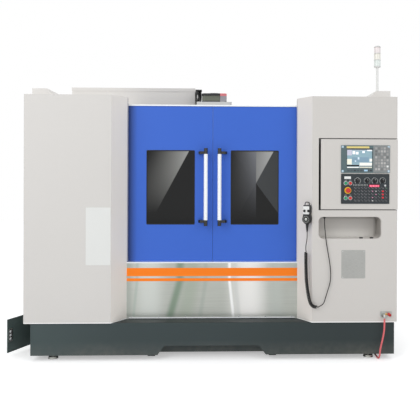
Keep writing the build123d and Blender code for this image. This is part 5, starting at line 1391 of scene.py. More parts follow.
@dataclass
class DoorPair(Assembly):
    """Sliding doors with panes and handles."""

    foot_run: Pair = (0.0735, 0.13)
    end_zs: tuple[Pair, Pair] = ((1.065, 1.1195), (1.6665, 1.721))
    screw_x: float = 0.100
    screw_zs: Pair = (1.108, 1.678)
    door_front: float = -0.950
    foot_face: float = -0.964
    window: Area = Area(0.155, 0.550, 1.083, 1.695)
    lip: Pair = (0.0045, 0.0030)

    def build(self) -> None:
        """Dress both doors and add their gaskets and screws."""
        # Painted shade: the left door's blue darkens towards its left edge
        shade = painted_light_wedge((40, 62, 120), (-0.668, 0.0, 1.4), (-1.0, 0.0), 4.0, (4.0, 60.0), 14.0)
        self.dress(FINISHES["door_blue"].varied("door_blue_left", shade), "left_door")
        self.dress("door_blue", "right_door")
        for side in Side:
            self.dress(self.pane_finish(side), f"{side.word}_window")
            self.dress(self.handle_finish(side), f"{side.word}_handle")
            self.gasket(side)
            spots = lattice((side.value * self.screw_x,), zs=self.screw_zs)
            piece = socket_screws(f"{side.word}_handle_screws",
                                  front_seat(y=self.foot_face), 0.0055, 0.0032, spots)
            self.fit(piece, CHROME, f"{side.word}_door_body")

    def pane_finish(self, side: Side) -> Finish:
        """Dark pane with painted reflections: slanting bright wedges, and on the right pane also a
        grey field and a darkened part.

        Args:
            side: Which pane.

        Returns:
            The pane's own finish.
        """
        lights = {
            Side.LEFT: (
                ((162, 162, 158), (-0.198, 0.0, 1.697), (-0.882, 0.472), 0.30, (1.72, 0.55)),
            ),
            Side.RIGHT: (
                ((80, 83, 85), (0.364, 0.0, 1.426), (0.803, 0.597), 1.4, (2.6, 3.0)),
                ((182, 182, 180), (0.512, 0.0, 1.696), (-0.877, 0.48), 0.34, (1.76, 0.62)),
                ((14, 15, 16), (0.364, 0.0, 1.426), (-1.0, 0.0), 4.0, (4.0, 60.0)),
                ((128, 130, 136), (0.364, 0.0, 1.426), (-1.0, 0.0), 0.22, (1.80, 0.68)),
            ),
        }
        layers = (painted_light_wedge(*light) for light in lights[side])
        return FINISHES["glass_tint"].varied(f"pane_{side.word}", *layers)

    def handle_finish(self, side: Side) -> Finish:
        """White tube with black feet and end caps.

        Args:
            side: Which handle.

        Returns:
            The handle's own finish.
        """
        near, far = sorted(side.value * place for place in self.foot_run)
        areas = (Area(near, far, 1.0, 1.8), *(Area(-0.2, 0.2, *ends) for ends in self.end_zs))
        black = (box((22, 23, 24), (area.left, -1.1, area.low), (area.right, -0.9, area.high))
                 for area in areas)
        return FINISHES["white_tube"].varied(f"handle_{side.word}", *black)

    def gasket(self, side: Side) -> None:
        """Rubber profile around the window: an oval lip carried along its edge.

        A point is the edge's point plus the lip's cosine part towards the window's middle and
        its sine part outwards.

        Args:
            side: Which door.
        """
        x, y, z = self.window.seat(self.door_front).origin
        middle = np.array([side.value * x, y, z])
        width, height = self.window.size
        outline = round_rect((width + 0.004, height + 0.004), 0.008, 6)
        path = middle + points(outline[:, 0], 0.0, outline[:, 1])
        toward = (middle - path) / np.linalg.norm(middle - path, axis=1, keepdims=True)
        lip = np.array(self.lip) * ring(1.0, 8)[None, :, :]
        rings = (path[:, None, :] + lip[..., :1] * toward[:, None, :]
                 + lip[..., 1:] * np.array([0.0, -1.0, 0.0]))
        piece = solid(f"{side.word}_gasket", rings, Closing.JOINED, crease=80.0)
        self.fit(piece, RUBBER, f"{side.word}_door_body")


@dataclass
class Mechanics(Assembly):
    """Castings, guides, table, head and magazine inside the enclosure."""

    spindle_y: float = -0.250
    motor_top: float = 2.272
    head_front: float = -0.415
    cover: Area = Area(-0.135, 0.135, 1.600, 2.120)
    cover_thick: float = 0.0040
    cover_screws: tuple[float, ...] = (1.625, 1.860, 2.095)
    guard_radii: tuple[float, ...] = (0.030, 0.052, 0.074, 0.095)
    nozzle_reach: Pair = (0.142, 0.112)
    nozzle_zs: Pair = (1.566, 1.468)
    column_top: float = 2.200
    eye_xs: Pair = (-0.22, 0.22)
    eye_y: float = 0.66
    eye_radius: float = 0.026
    eye_rise: float = 0.044
    bed_seat_z: float = 0.620
    bolt_xs: Pair = (-0.331, 0.331)
    bolt_ys: tuple[float, ...] = (0.47, 0.58, 0.69, 0.80, 0.90)
    conduits: tuple[Pair, ...] = ((-0.153, -0.342), (-0.133, -0.332), (-0.146, -0.306))
    finishes: dict[str, tuple[str, ...]] = field(
        default_factory=lambda: {
            "casting_grey": ("bed", "column", "saddle", "magazine_bracket"),
            "ground_steel": ("guide_rails", "x_screw", "y_screw", "z_screw", "spindle",
                             "tool_disc"),
            "motor_black": ("axis_motors", "x_motor"),
            "table_iron": ("table",),
            "black_satin": ("cable_bracket",),
            "chrome": ("gripper_claws",),
        }
    )

    def build(self) -> None:
        """Dress the mechanics and add the head's and the column's fittings."""
        for finish, nodes in self.finishes.items():
            self.dress(finish, *nodes)
        self.dress(FINISHES["head_grey"].varied(
            "head_paint", box((234, 233, 229), (-0.3, -0.5, 2.08), (0.3, 0.6, 2.19), 0.004)),
            "spindle_head")
        self.dress(FINISHES["motor_black"].varied(
            "spindle_motor_paint",
            box((120, 124, 110), (-0.13, -0.38, 2.2005), (0.13, -0.12, 2.2500)),
            box((160, 158, 164), (0.0555, -0.38, 2.190), (0.13, -0.305, 2.246)),
            box((230, 128, 134), (0.0555, -0.38, 2.246), (0.13, -0.305, 2.28))), "spindle_motor")
        self.motor_fan()
        self.nozzles()
        self.eye_bolts()
        self.head_cover()
        self.head_conduits()
        self.column_bolts()

    def motor_fan(self) -> None:
        """Round guard with spokes over the fan on top of the spindle motor."""
        seat = floor_seat(0.0, self.spindle_y, self.motor_top)
        for index, radius in enumerate(self.guard_radii):
            piece = collar(f"fan_guard_{index + 1}", seat, (radius - 0.0025, radius + 0.0025),
                           0.005, 48)
            self.fit(piece, SATIN, "head_body")
        piece = spokes("fan_guard_spokes", seat, tau * np.arange(8) / 8, (0.012, 0.096), 0.005,
                       0.004)
        self.fit(piece, SATIN, "head_body")

    def nozzles(self) -> None:
        """Jointed coolant nozzles around the spindle nose: a string of waisted links."""
        run = np.linspace(0.0, 1.0, 49)
        radius = 0.0075 + 0.0018 * np.abs(np.sin(run * 6 * tau / 2))
        radius = np.where(run > 0.9, 0.0075 * (1.0 - 0.55 * (run - 0.9) / 0.1), radius)
        reach = np.interp(run, (0.0, 1.0), self.nozzle_reach) + 0.014 * np.sin(run * tau / 2)
        z = np.interp(run, (0.0, 1.0), self.nozzle_zs)
        for index, angle in enumerate(tau * (np.arange(4) + 0.5) / 4):
            path = points(reach * np.cos(angle), self.spindle_y + reach * np.sin(angle), z)
            piece = tube(f"nozzle_{index + 1}", path, radius, 14, crease=50.0)
            self.fit(piece, Trim("nozzle_blue", "black_plastic"), "head_body")

    def eye_bolts(self) -> None:
        """Lifting eyes on the column: a torus over a shouldered stem.

        A point of the torus lies, on the large circle's direction, at the large radius plus
        the small circle's cosine part; the sine part goes along the torus's axis.
        """
        large, small = ring(1.0, 32), ring(0.008, 12)
        reach = self.eye_radius + small[None, :, 0]
        stem = [(0.022, -SINK), (0.022, 0.006), (0.014, 0.010), (0.011, 0.022)]
        for index, x in enumerate(self.eye_xs):
            rings = points(x + large[:, :1] * reach, self.eye_y + small[None, :, 1],
                           self.column_top + self.eye_rise + large[:, 1:] * reach)
            self.fit(solid(f"eye_bolt_{index + 1}", rings, Closing.JOINED, crease=60.0), ZINC)
            seat = floor_seat(x, self.eye_y, self.column_top)
            self.fit(turned(f"eye_stem_{index + 1}", seat, stem, 20), ZINC)

    def head_cover(self) -> None:
        """Cover plate on the head's front, with its cap screws."""
        piece = slab("head_cover", self.cover.seat(self.head_front), self.cover.size,
                     self.cover_thick, 0.014, 0.0015, steps=6)
        self.fit(piece, Trim("head_grey", "casting_paint"), "head_body")
        seat = front_seat(y=self.head_front - self.cover_thick)
        spots = lattice((-0.118, 0.118), zs=self.cover_screws)
        self.fit(socket_screws("head_cover_screws", seat, 0.0070, 0.0045, spots), ZINC, "head_body")

    def head_conduits(self) -> None:
        """Corrugated conduits between the head's top and the bracket's arm."""
        rise = np.linspace(0.0, 1.0, 97)
        radius = 0.0088 + 0.0012 * np.sin(rise * 16 * tau)
        for index, (x, y) in enumerate(self.conduits):
            path = points(x + 0.005 * np.sin(rise * tau / 2), y, 2.1835 + 0.111 * rise)
            self.fit(tube(f"head_conduit_{index + 1}", path, radius, 16), RUBBER, "head_body")

    def column_bolts(self) -> None:
        """Cap screws that hold the column down, on the bed's seat at both of its sides."""
        seat, spots = floor_seat(0.0, 0.0, self.bed_seat_z), lattice(self.bolt_xs, self.bolt_ys)
        self.fit(socket_screws("column_bolts", seat, 0.0165, 0.0160, spots), ZINC)


@dataclass
class Console(Assembly):
    """Control console with display, operator panel and switches."""

    carrier: str = "console_body"
    screen: Area = Area(1.083, 1.292, 1.551, 1.703)
    screen_y: float = -1.156
    key_y: float = -1.1606
    buttons: Area = Area(1.075, 1.112, 1.310, 1.430)
    stop: Vec = (1.092, 0.0, 1.372)
    stop_collar: float = 0.0272
    knobs: tuple[tuple[str, float], ...] = (
        ("mode", 1.171), ("feed", 1.249), ("rapid", 1.311), ("spindle", 1.375))
    knob_z: float = 1.450
    knob_face: float = -1.1753
    pad: Area = Area(1.310, 1.426, 1.532, 1.724)
    soft_keys: Area = Area(1.08, 1.295, 1.52, 1.545)
    panel_keys: Area = Area(1.140, 1.418, 1.276, 1.404)
    key_count: tuple[int, int] = (10, 5)
    display_corners: Area = Area(1.0498, 1.4235, 1.5270, 1.7235)
    panel_corners: Area = Area(1.0455, 1.4225, 1.2715, 1.4985)
    lamp_zs: Pair = (1.4108, 1.4205)
    load: Area = Area(1.2655, 1.3485, 1.4000, 1.4170)
    lock: Pair = (1.3951, 1.4120)

    def build(self) -> None:
        """Dress the console and add its picture, rings, scales, lamps and screws."""
        # The console's left face darkened near its front: painted shade in the gap between the
        # console and its pocket
        self.dress(FINISHES["hood_coat_shaded"].varied(
            "console_coat", box(GAP_SHADE, (0.84, -1.1560, 1.2), (0.8748, -1.0, 1.8)),
            box(GAP_SHADE, (0.84, -1.1505, 1.2), (0.8755, -1.0, 1.8))), "console_box")
        self.dress(self.display_finish(), "display_unit")
        keys = self.key_field(self.panel_keys, self.key_count, (44, 46, 50), (66, 66, 70))
        disc = {"Centre": self.stop, "Radius": self.stop_collar}
        self.dress(FINISHES["panel_black"].varied(
            "panel_front", keys, Layer(Effect.DISC_MASK, (246, 196, 44), disc)), "operator_panel")
        self.dress("red_plastic", "estop_button", "power_off_button", "feed_hold_button")
        self.dress("green_plastic", "power_on_button", "cycle_start_button")
        self.dress("black_plastic", *(f"{knob}_knob" for knob, _ in self.knobs))
        self.picture()
        self.button_rings()
        self.knob_scales()
        self.lamps()
        self.key_marks()
        self.key_switch()
        self.unit_screws()

    def key_field(self, area: Area, count: tuple[int, int], first: Tone, second: Tone) -> KeyField:
        """The raised keys of an area in two shades.

        Args:
            area: Where the keys are.
            count: Columns and rows of keys.
            first: One shade.
            second: The other shade.

        Returns:
            The layer.
        """
        pitch = (area.size[0] / count[0], 1.0, area.size[1] / count[1])
        values = {"Low": (area.left, -1.175, area.low), "High": (area.right, -1.1594, area.high)}
        return KeyField(Effect.SLAB_MASK, first, values, second, (area.left, 0.0, area.low), pitch)

    def display_finish(self) -> Finish:
        """Grey-teal front with a pale strip, a key pad and soft keys.

        Returns:
            The finish.
        """
        soft = replace(self.key_field(self.soft_keys, (8, 1), (52, 58, 64), (78, 88, 94)),
                       origin=(self.screen.left, 0.0, 1.5),
                       pitch=(self.screen.size[0] / 8, 1.0, 0.1))
        return FINISHES["bezel_teal"].varied(
            "display_front", self.key_field(self.pad, (5, 8), (112, 114, 114), (192, 190, 188)),
            soft, box((232, 212, 132), (1.082, -1.17, 1.7125), (1.266, -1.15, 1.7275)),
            box((52, 58, 62), (1.080, -1.17, 1.7050), (1.300, -1.15, 1.7115)),
            box((136, 140, 140), (1.2985, -1.1595, 1.517), (1.433, -1.15, 1.734)))

    def picture_finish(self) -> Finish:
        """Lit screen with plain fields and bars, each given by its left, right, low and high.

        Returns:
            The finish.
        """
        fields = (
            ((122, 150, 168), 1.126, 1.262, 1.600, 1.640),
            ((190, 190, 206), 1.083, 1.125, 1.655, 1.703),
            ((172, 182, 194), 1.128, 1.290, 1.694, 1.703),
            ((244, 246, 250), 1.130, 1.152, 1.664, 1.690),
            ((236, 240, 246), 1.157, 1.179, 1.662, 1.684),
            ((240, 244, 250), 1.209, 1.230, 1.674, 1.690),
            ((248, 250, 252), 1.250, 1.290, 1.690, 1.702),
            ((232, 231, 214), 1.085, 1.124, 1.582, 1.626),
            ((238, 238, 232), 1.268, 1.292, 1.605, 1.628),
            ((206, 222, 232), 1.172, 1.186, 1.622, 1.640),
            ((206, 222, 232), 1.148, 1.160, 1.604, 1.614),
            ((236, 236, 228), 1.187, 1.292, 1.573, 1.596),
            ((16, 20, 24), 1.083, 1.184, 1.565, 1.5785),
            ((240, 242, 240), 1.085, 1.182, 1.5515, 1.562),
            ((142, 143, 138), 1.187, 1.290, 1.5635, 1.571),
            ((226, 222, 200), 1.187, 1.290, 1.5525, 1.560),
        )
        return Finish("screen_picture", (134, 163, 174), 0.16, 0.25, 0.0, glow=0.25).varied(
            "screen_picture", *(box(tone, (left, -1.2, low), (right, -1.1, high))
                                for tone, left, right, low, high in fields))

    def picture(self) -> None:
        """Screen, the dark rim that holds it, and the two pale keys of its unit."""
        width, height = self.screen.size
        seat = self.screen.seat(self.screen_y)
        piece = slab("screen_picture", seat, (width - 0.004, height - 0.004), 0.0010, 0.003)
        self.fit(piece, Trim(self.picture_finish(), "display_teal"))
        levels = [(0.0, -SINK), (0.0, 0.0026), (0.002, 0.0022), (0.0026, 0.0003)]
        self.fit(rim("screen_rim", seat, (width - 0.001, height - 0.001), 0.003, levels, 5), BLACK)
        seat = front_seat(1.23805, 1.533, self.key_y)
        piece = slab("soft_key_lit", seat, (0.030, 0.0135), 0.0005, 0.0015)
        self.fit(piece, Trim(Finish("pale_blue_key", (176, 212, 236)), "grey_plastic"))
        seat = front_seat(1.4144, 1.5657, self.key_y)
        self.fit(slab("reset_key_cap", seat, (0.017, 0.015), 0.0006), WHITE)

    def button_rings(self) -> None:
        """Pale rings around the four small buttons, and bare labels above them."""
        seat = front_seat(y=PANEL_Y)
        spots = self.buttons.corners()
        self.fit(collar("button_rings", seat, (0.0128, 0.0168), 0.0034, 32, spots), CHROME)
        piece = slab("button_labels", seat.moved(0.0, 0.0245), (0.018, 0.0055), 0.0004, 0.001,
                     spots=spots)
        self.fit(piece, Trim(Finish("label_grey", (150, 152, 150), 0.45), "grey_plastic"))
        seat = seat.moved(1.0906, 1.4747)
        self.fit(slab("blank_label", seat, (0.0535, 0.0205), 0.0006, 0.0012), WHITE)

    def knob_scales(self) -> None:
        """Tick marks around each knob and a white pointer on it."""
        angles = np.radians(np.linspace(-45.0, 225.0, 13))
        for index, (_, x) in enumerate(self.knobs):
            seat = front_seat(x, self.knob_z, PANEL_Y)
            piece = spokes(f"knob_scale_{index + 1}", seat, angles, (0.0210, 0.0275), 0.0021,
                           0.0003)
            self.fit(piece, WHITE)
        for index, (knob, x) in enumerate(self.knobs):
            seat = front_seat(x, self.knob_z + 0.0085, self.knob_face)
            piece = slab(f"knob_pointer_{index + 1}", seat, (0.0018, 0.0075), 0.0003, 0.0004,
                         0.0002)
            self.fit(piece, WHITE, f"{knob}_knob_body")

    def lamps(self) -> None:
        """Load display with lit digits' places, and two rows of indicator lamps."""
        digits = (box((255, 150, 176), (x, -1.2, 1.4035), (x + 0.007, -1.1, 1.4135))
                  for x in np.arange(1.2715, 1.345, 0.0125))
        piece = slab("load_display", self.load.seat(PANEL_Y), self.load.size, 0.0022)
        glow = Finish("load_display", (214, 40, 78), 0.2, layers=tuple(digits), glow=0.35)
        self.fit(piece, Trim(glow, "red_plastic"))
        dome = [(0.0026, -SINK), (0.0026, 0.0008), (0.0018, 0.0017), (0.0006, 0.0020)]
        spots = lattice(self.panel_keys.left + 0.0122 * np.arange(10), zs=self.lamp_zs)
        piece = turned("indicator_lamps", front_seat(y=PANEL_Y), dome, 10, spots)
        self.fit(piece, Trim(Finish("lamp_pale", (206, 206, 204), 0.25), "grey_plastic"))

    def key_marks(self) -> None:
        """Marks by shape on every key of the panel, and coloured caps on some of them."""
        columns, rows = self.key_count
        wide, tall = self.panel_keys.size[0] / columns, self.panel_keys.size[1] / rows
        xs = self.panel_keys.left + wide * (np.arange(columns) + 0.5)
        zs = self.panel_keys.low + tall * (np.arange(rows) + 0.5)
        face = front_seat(y=self.key_y)
        spots = lattice(xs - 0.30 * wide, zs=zs + 0.26 * tall)
        piece = slab("key_corner_marks", face, (0.0030, 0.0030), 0.0002, 0.0006, 0.0001, spots)
        self.fit(piece, Trim(Finish("mark_grey", (196, 200, 202), 0.45), "grey_plastic"))
        spots = lattice(xs + 0.08 * wide, zs=zs - 0.05 * tall)
        piece = slab("key_bar_marks", face, (0.0082, 0.0022), 0.0002, 0.0004, 0.0001, spots)
        self.fit(piece, Trim(Finish("mark_soft", (150, 155, 160), 0.45), "grey_plastic"))
        for name, tone, share, cells in (
                ("red_caps", (226, 40, 52), (0.56, 0.50), ((8, 3), (8, 1), (8, 2))),
                ("pink_caps", (232, 150, 186), (0.30, 0.24), ((5, 3), (6, 2), (5, 1))),
                ("white_caps", (232, 232, 230), (0.30, 0.24), ((5, 0), (6, 3))),
                ("green_caps", (50, 120, 84), (0.30, 0.24), ((7, 4), (9, 4), (7, 2)))):
            spots = np.array([(xs[column], 0.0, zs[row]) for column, row in cells])
            size = (share[0] * wide, share[1] * tall)
            piece = slab(name, face, size, 0.0004, 0.0012, 0.0002, spots)
            self.fit(piece, Trim(Finish(name, tone), "grey_plastic"))

    def key_switch(self) -> None:
        """Barrel of the key switch and the key's blade in it."""
        barrel = [(0.0085, -SINK), (0.0085, 0.003), (0.0072, 0.0042), (0.0058, 0.0042),
                  (0.0055, 0.0032)]
        seat = front_seat(*self.lock, PANEL_Y)
        self.fit(turned("key_switch", seat, barrel), CHROME)
        piece = slab("key_blade", seat.moved(0.0, 0.0, 0.0030), (0.0028, 0.0105), 0.010, 0.0008)
        self.fit(piece, WHITE)

    def unit_screws(self) -> None:
        """Screws at the corners of both units, on pale pads on the upper one."""
        seat = front_seat(y=PANEL_Y)
        corners = self.display_corners.corners()
        piece = slab("display_corner_pads", seat, (0.0175, 0.0175), 0.0006, 0.003, spots=corners)
        self.fit(piece, Trim(Finish("pad_blue", (176, 208, 226)), "display_teal"))
        piece = socket_screws("display_screws", seat.moved(0.0, 0.0, 0.0006), 0.0048, 0.0026,
                              corners)
        self.fit(piece, CHROME)
        corners = self.panel_corners.corners()
        self.fit(socket_screws("panel_screws", seat, 0.0036, 0.0022, corners), SATIN)


def from_front(route: Sequence[Vec]) -> tuple[Vec, ...]:
    """A route in metres from one in millimetres whose depths count from the hoods' front."""
    return tuple((x / 1000, FRONT_Y + depth / 1000, z / 1000) for x, depth, z in route)


@dataclass
class Pendant(Assembly):
    """Pulse pendant with its curly cord."""

    wheel_z: float = 1.139
    face_z: float = 1.2115
    knob_z: float = 1.206
    knob_off: float = 0.017
    low: float = 1.1010
    high: float = 1.2518
    half_depth: float = 0.0175
    edge: float = 0.005
    lobe: float = 0.0372
    head_half: float = 0.0315
    lead_radius: float = 0.00375
    coil_radius: float = 0.0106
    pitch: float = 0.0083
    ease: float = 5.0
    turn_points: int = 16
    lead: tuple[Vec, ...] = from_front((
        (766.25, 1.84, 1037), (766.25, 1.84, 1000), (763, 1, 962),
        (755, -2, 930), (755, -2, 895)))
    coil: tuple[Vec, ...] = from_front((
        (755, -2, 895), (755, -2, 835), (755.5, -4.5, 765), (757, -7, 695),
        (760.5, -11, 628), (768, -17, 563), (778, -23, 505),
        (795, -26, 449), (838, -26, 432), (866, -26, 444)))
    tail: tuple[Vec, ...] = from_front((
        (866, -26, 444), (893, -26, 455.571), (909, -22, 500),
        (928, -18, 560), (943, -16, 604), (953, -15, 648),
        (955, -14.5, 708), (949.5, -14.5, 768), (940, -15, 826),
        (930, -15.5, 884), (920.5, -15.5, 938), (914, -13.5, 990),
        (911, -5, 1036), (910, 8.5, 1070), (910, 22, 1102),
        (910, 22, 1138)))

    def build(self) -> None:
        """Dress the pendant and wind its cord."""
        self.shell()
        self.face_marks()
        self.wheel_marks()
        self.dress("black_plastic", "mpg_gland", "mpg_wheel", "mpg_axis_knob", "mpg_rate_knob")
        self.wind_cord()

    @property
    def face(self) -> Seat:
        """Seat on the pendant's face at floor height, turned thirty degrees to the left."""
        across = (np.cos(tau / 12), -np.sin(tau / 12), 0.0)
        outward = (-np.sin(tau / 12), -np.cos(tau / 12), 0.0)
        back = Seat((0.775, FRONT_Y + 0.017, 0.0), across, outward=outward)
        return back.moved(0.0, 0.0, 2 * self.half_depth)

    def shell(self) -> None:
        """Housing with a round lower lobe and a narrower head, its boot and its bail.

        The half width is the circle about the wheel's centre below it and eases into the
        head's half width above it; a cross-section is a superellipse of that half width
        and half the depth.
        """
        z = np.concatenate([[self.low, self.low + 0.0002], np.linspace(1.1020, 1.2480, 44),
                            [self.high - 0.0006, self.high]])
        drop = np.clip((self.wheel_z - z) / self.lobe, 0.0, 1.0)
        ease = np.clip((z - self.wheel_z - 0.012) / 0.026, 0.0, 1.0)
        ease = ease * ease * (3.0 - 2.0 * ease)
        half = self.lobe * np.sqrt(1.0 - drop**2 * 0.80) * (1.0 - ease) + self.head_half * ease
        end = np.minimum(np.abs(z - self.low), np.abs(z - self.high))
        rest = 1.0 - np.clip(end / self.edge, 0.0, 1.0)
        inset = self.edge * (1.0 - np.sqrt(np.clip(1.0 - rest**2, 0.0, 1.0)))
        turn = ring(1.0, 40)
        across, depth = (np.sign(turn) * np.abs(turn) ** (2.0 / 5.0)).T
        rings = points((half - inset)[:, None] * across, z[:, None],
                       -self.half_depth + (self.half_depth - inset)[:, None] * depth)
        case = solid("pendant_case", self.face.place(rings), crease=50.0)
        core = self.face.moved(0.0, 0.0, -self.half_depth).origin
        radius = 0.0130 - 0.0072 * np.linspace(0.0, 1.0, 30) + 0.0008 * (np.arange(30) % 3 == 1)
        path = points(core[0], core[1], np.linspace(1.1040, 1.0370, 30))
        boot = tube("pendant_boot", path, radius, 20, crease=40.0)
        arc = np.linspace(0.0, tau / 2, 25)
        side = 0.0190 * np.sign(np.cos(arc)) * np.abs(np.cos(arc)) ** 0.6
        local = points(side, 1.2500 + 0.0262 * np.abs(np.sin(arc)) ** 0.6, -self.half_depth)
        bail = tube("pendant_bail", self.face.place(local), 0.0036, 12)
        parts = {"black_plastic": case, "rubber_black": boot, "black_satin": bail}
        for finish, part in parts.items():
            part.data.materials.append(self.paint.get(finish))
        piece = self.fit(join("pendant_housing", list(parts.values())), BLACK)
        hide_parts("mpg_housing")

    def face_marks(self) -> None:
        """White face behind the selectors, and a scale around each."""
        seat = self.face.moved(-0.0035, self.face_z)
        piece = slab("pendant_face", seat, (0.0530, 0.0640), 0.00022, 0.006, 0.00006, steps=6)
        self.fit(piece, WHITE)
        angles = np.radians(np.linspace(-50.0, 230.0, 8))
        for index, off in enumerate((-self.knob_off, self.knob_off)):
            seat = self.face.moved(off, self.knob_z)
            piece = spokes(f"pendant_scale_{index + 1}", seat, angles, (0.0112, 0.0138), 0.0010,
                           0.00027)
            self.fit(piece, BLACK)

    def wheel_marks(self) -> None:
        """Graduation, ring and cap on the hand wheel."""
        wheel = self.face.moved(0.0, self.wheel_z, 0.0143)
        piece = spokes("wheel_graduation", wheel, tau * np.arange(50) / 50, (0.0272, 0.0300),
                       0.0008, 0.0003)
        self.fit(piece, PALE, "mpg_wheel_body")
        self.fit(collar("wheel_ring", wheel, (0.0225, 0.0243), 0.0005, 48), ZINC, "mpg_wheel_body")
        cap = [(0.0105, -SINK), (0.0105, 0.0006), (0.0085, 0.0014), (0.002, 0.0017)]
        self.fit(turned("wheel_cap", wheel, cap, 28), ZINC, "mpg_wheel_body")

    def helix(self) -> np.ndarray:
        """Curly part: a circle carried along the coil's line, turning once per pitch.

        A point is the line's point plus the radius times the cosine of the turn along the
        first normal and its sine along the second. The radius grows from nothing over the
        first turn and shrinks over the last, where the turns are stretched too, so that the
        cord never bends much tighter than in the coil itself.

        Returns:
            Array of shape (n, 3).
        """
        line = spline_points(self.coil)
        run = running_length(line)
        turns = round(run[-1] / self.pitch - self.ease)
        share = np.linspace(0.0, turns, turns * self.turn_points + 1)
        grow = np.clip(np.minimum(share, turns - share), 0.0, 1.0)
        grow = grow * grow * (3.0 - 2.0 * grow)
        place = np.concatenate([[0.0], np.cumsum(1.0 + self.ease * (1.0 - grow[1:]))])
        target = run[-1] * place / place[-1]
        middle = points(*(np.interp(target, run, part) for part in line.T))
        first, second = square_pair(middle)
        reach, angle = self.coil_radius * grow, tau * share
        return (middle + (reach * np.cos(angle))[:, None] * first
                + (reach * np.sin(angle))[:, None] * second)

    def wind_cord(self) -> None:
        """One cord from the pendant's boot through the curly part up to the gland."""
        path = np.concatenate(
            [spline_points(self.lead)[:-1], self.helix(), spline_points(self.tail)[1:]])
        piece = tube("pendant_cord", path, self.lead_radius, 8)
        self.fit(piece, Trim("cord_black", "cord_rubber"))
        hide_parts("mpg_lead", "mpg_coil")
        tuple(self.lead[0])


@dataclass
class AirLine(Assembly):
    """Air inlet, hose and coupling."""

    plate_y: float = -1.153
    plate_corners: Area = Area(1.3675, 1.4475, 0.3515, 0.3885)
    inlet: Pair = (1.4315, 0.370)
    plug: Pair = (1.4095, 0.3715)
    radius: float = 0.007
    route: tuple[Vec, ...] = from_front((
        (1388, -28, 345), (1388, -28, 303), (1385, -30, 243),
        (1374, -32, 186), (1360, -30.5, 126), (1353, -29, 90),
        (1351.5, -28, 56.4), (1351.5, -10, 25.2), (1352, 21.2, 7.3),
        (1353.5, 72, 7.2), (1357, 150, 7.2), (1362, 260, 7.2),
        (1369, 405, 7.2), (1374, 600, 7.2), (1375, 795, 7.2),
        (1371, 990, 7.2), (1363, 1185, 7.2), (1356, 1380, 7.2),
        (1352, 1575, 7.2), (1351.5, 1770, 7.2), (1354, 1960, 7.2),
        (1358, 2100, 9), (1361, 2190, 12)))

    def build(self) -> None:
        """Dress the inlet and lay the hose."""
        self.dress("zinc", "air_inlet_plate")
        self.inlet_fittings()
        self.dress("brass", "air_coupling")
        piece = spline_object("air_hose_line", self.route, self.radius)
        self.fit(piece, Trim("hose_red", "hose_red"))
        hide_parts("air_hose")
        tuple(self.route[0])
        float(running_length(spline_points(self.route))[-1])

    def inlet_fittings(self) -> None:
        """A coupling, a blanking plug and corner screws on the inlet plate."""
        seat = front_seat(y=self.plate_y)
        barrel = [(0.0125, -SINK), (0.0125, 0.006), (0.0105, 0.008), (0.0105, 0.020),
                  (0.0120, 0.022), (0.0120, 0.028), (0.0070, 0.030), (0.0065, 0.020)]
        piece = turned("inlet_coupling", seat.moved(*self.inlet), barrel)
        self.fit(piece, Trim("red_plastic", "red_plastic"))
        plug = [(0.0085, -SINK), (0.0085, 0.005), (0.0060, 0.0065), (0.0060, 0.0045)]
        piece = turned("inlet_plug", seat.moved(*self.plug), plug, 6)
        self.fit(piece, Trim("brass", "brass_fitting"))
        spots = self.plate_corners.corners()
        self.fit(socket_screws("inlet_screws", seat, 0.0034, 0.0020, spots), CHROME)


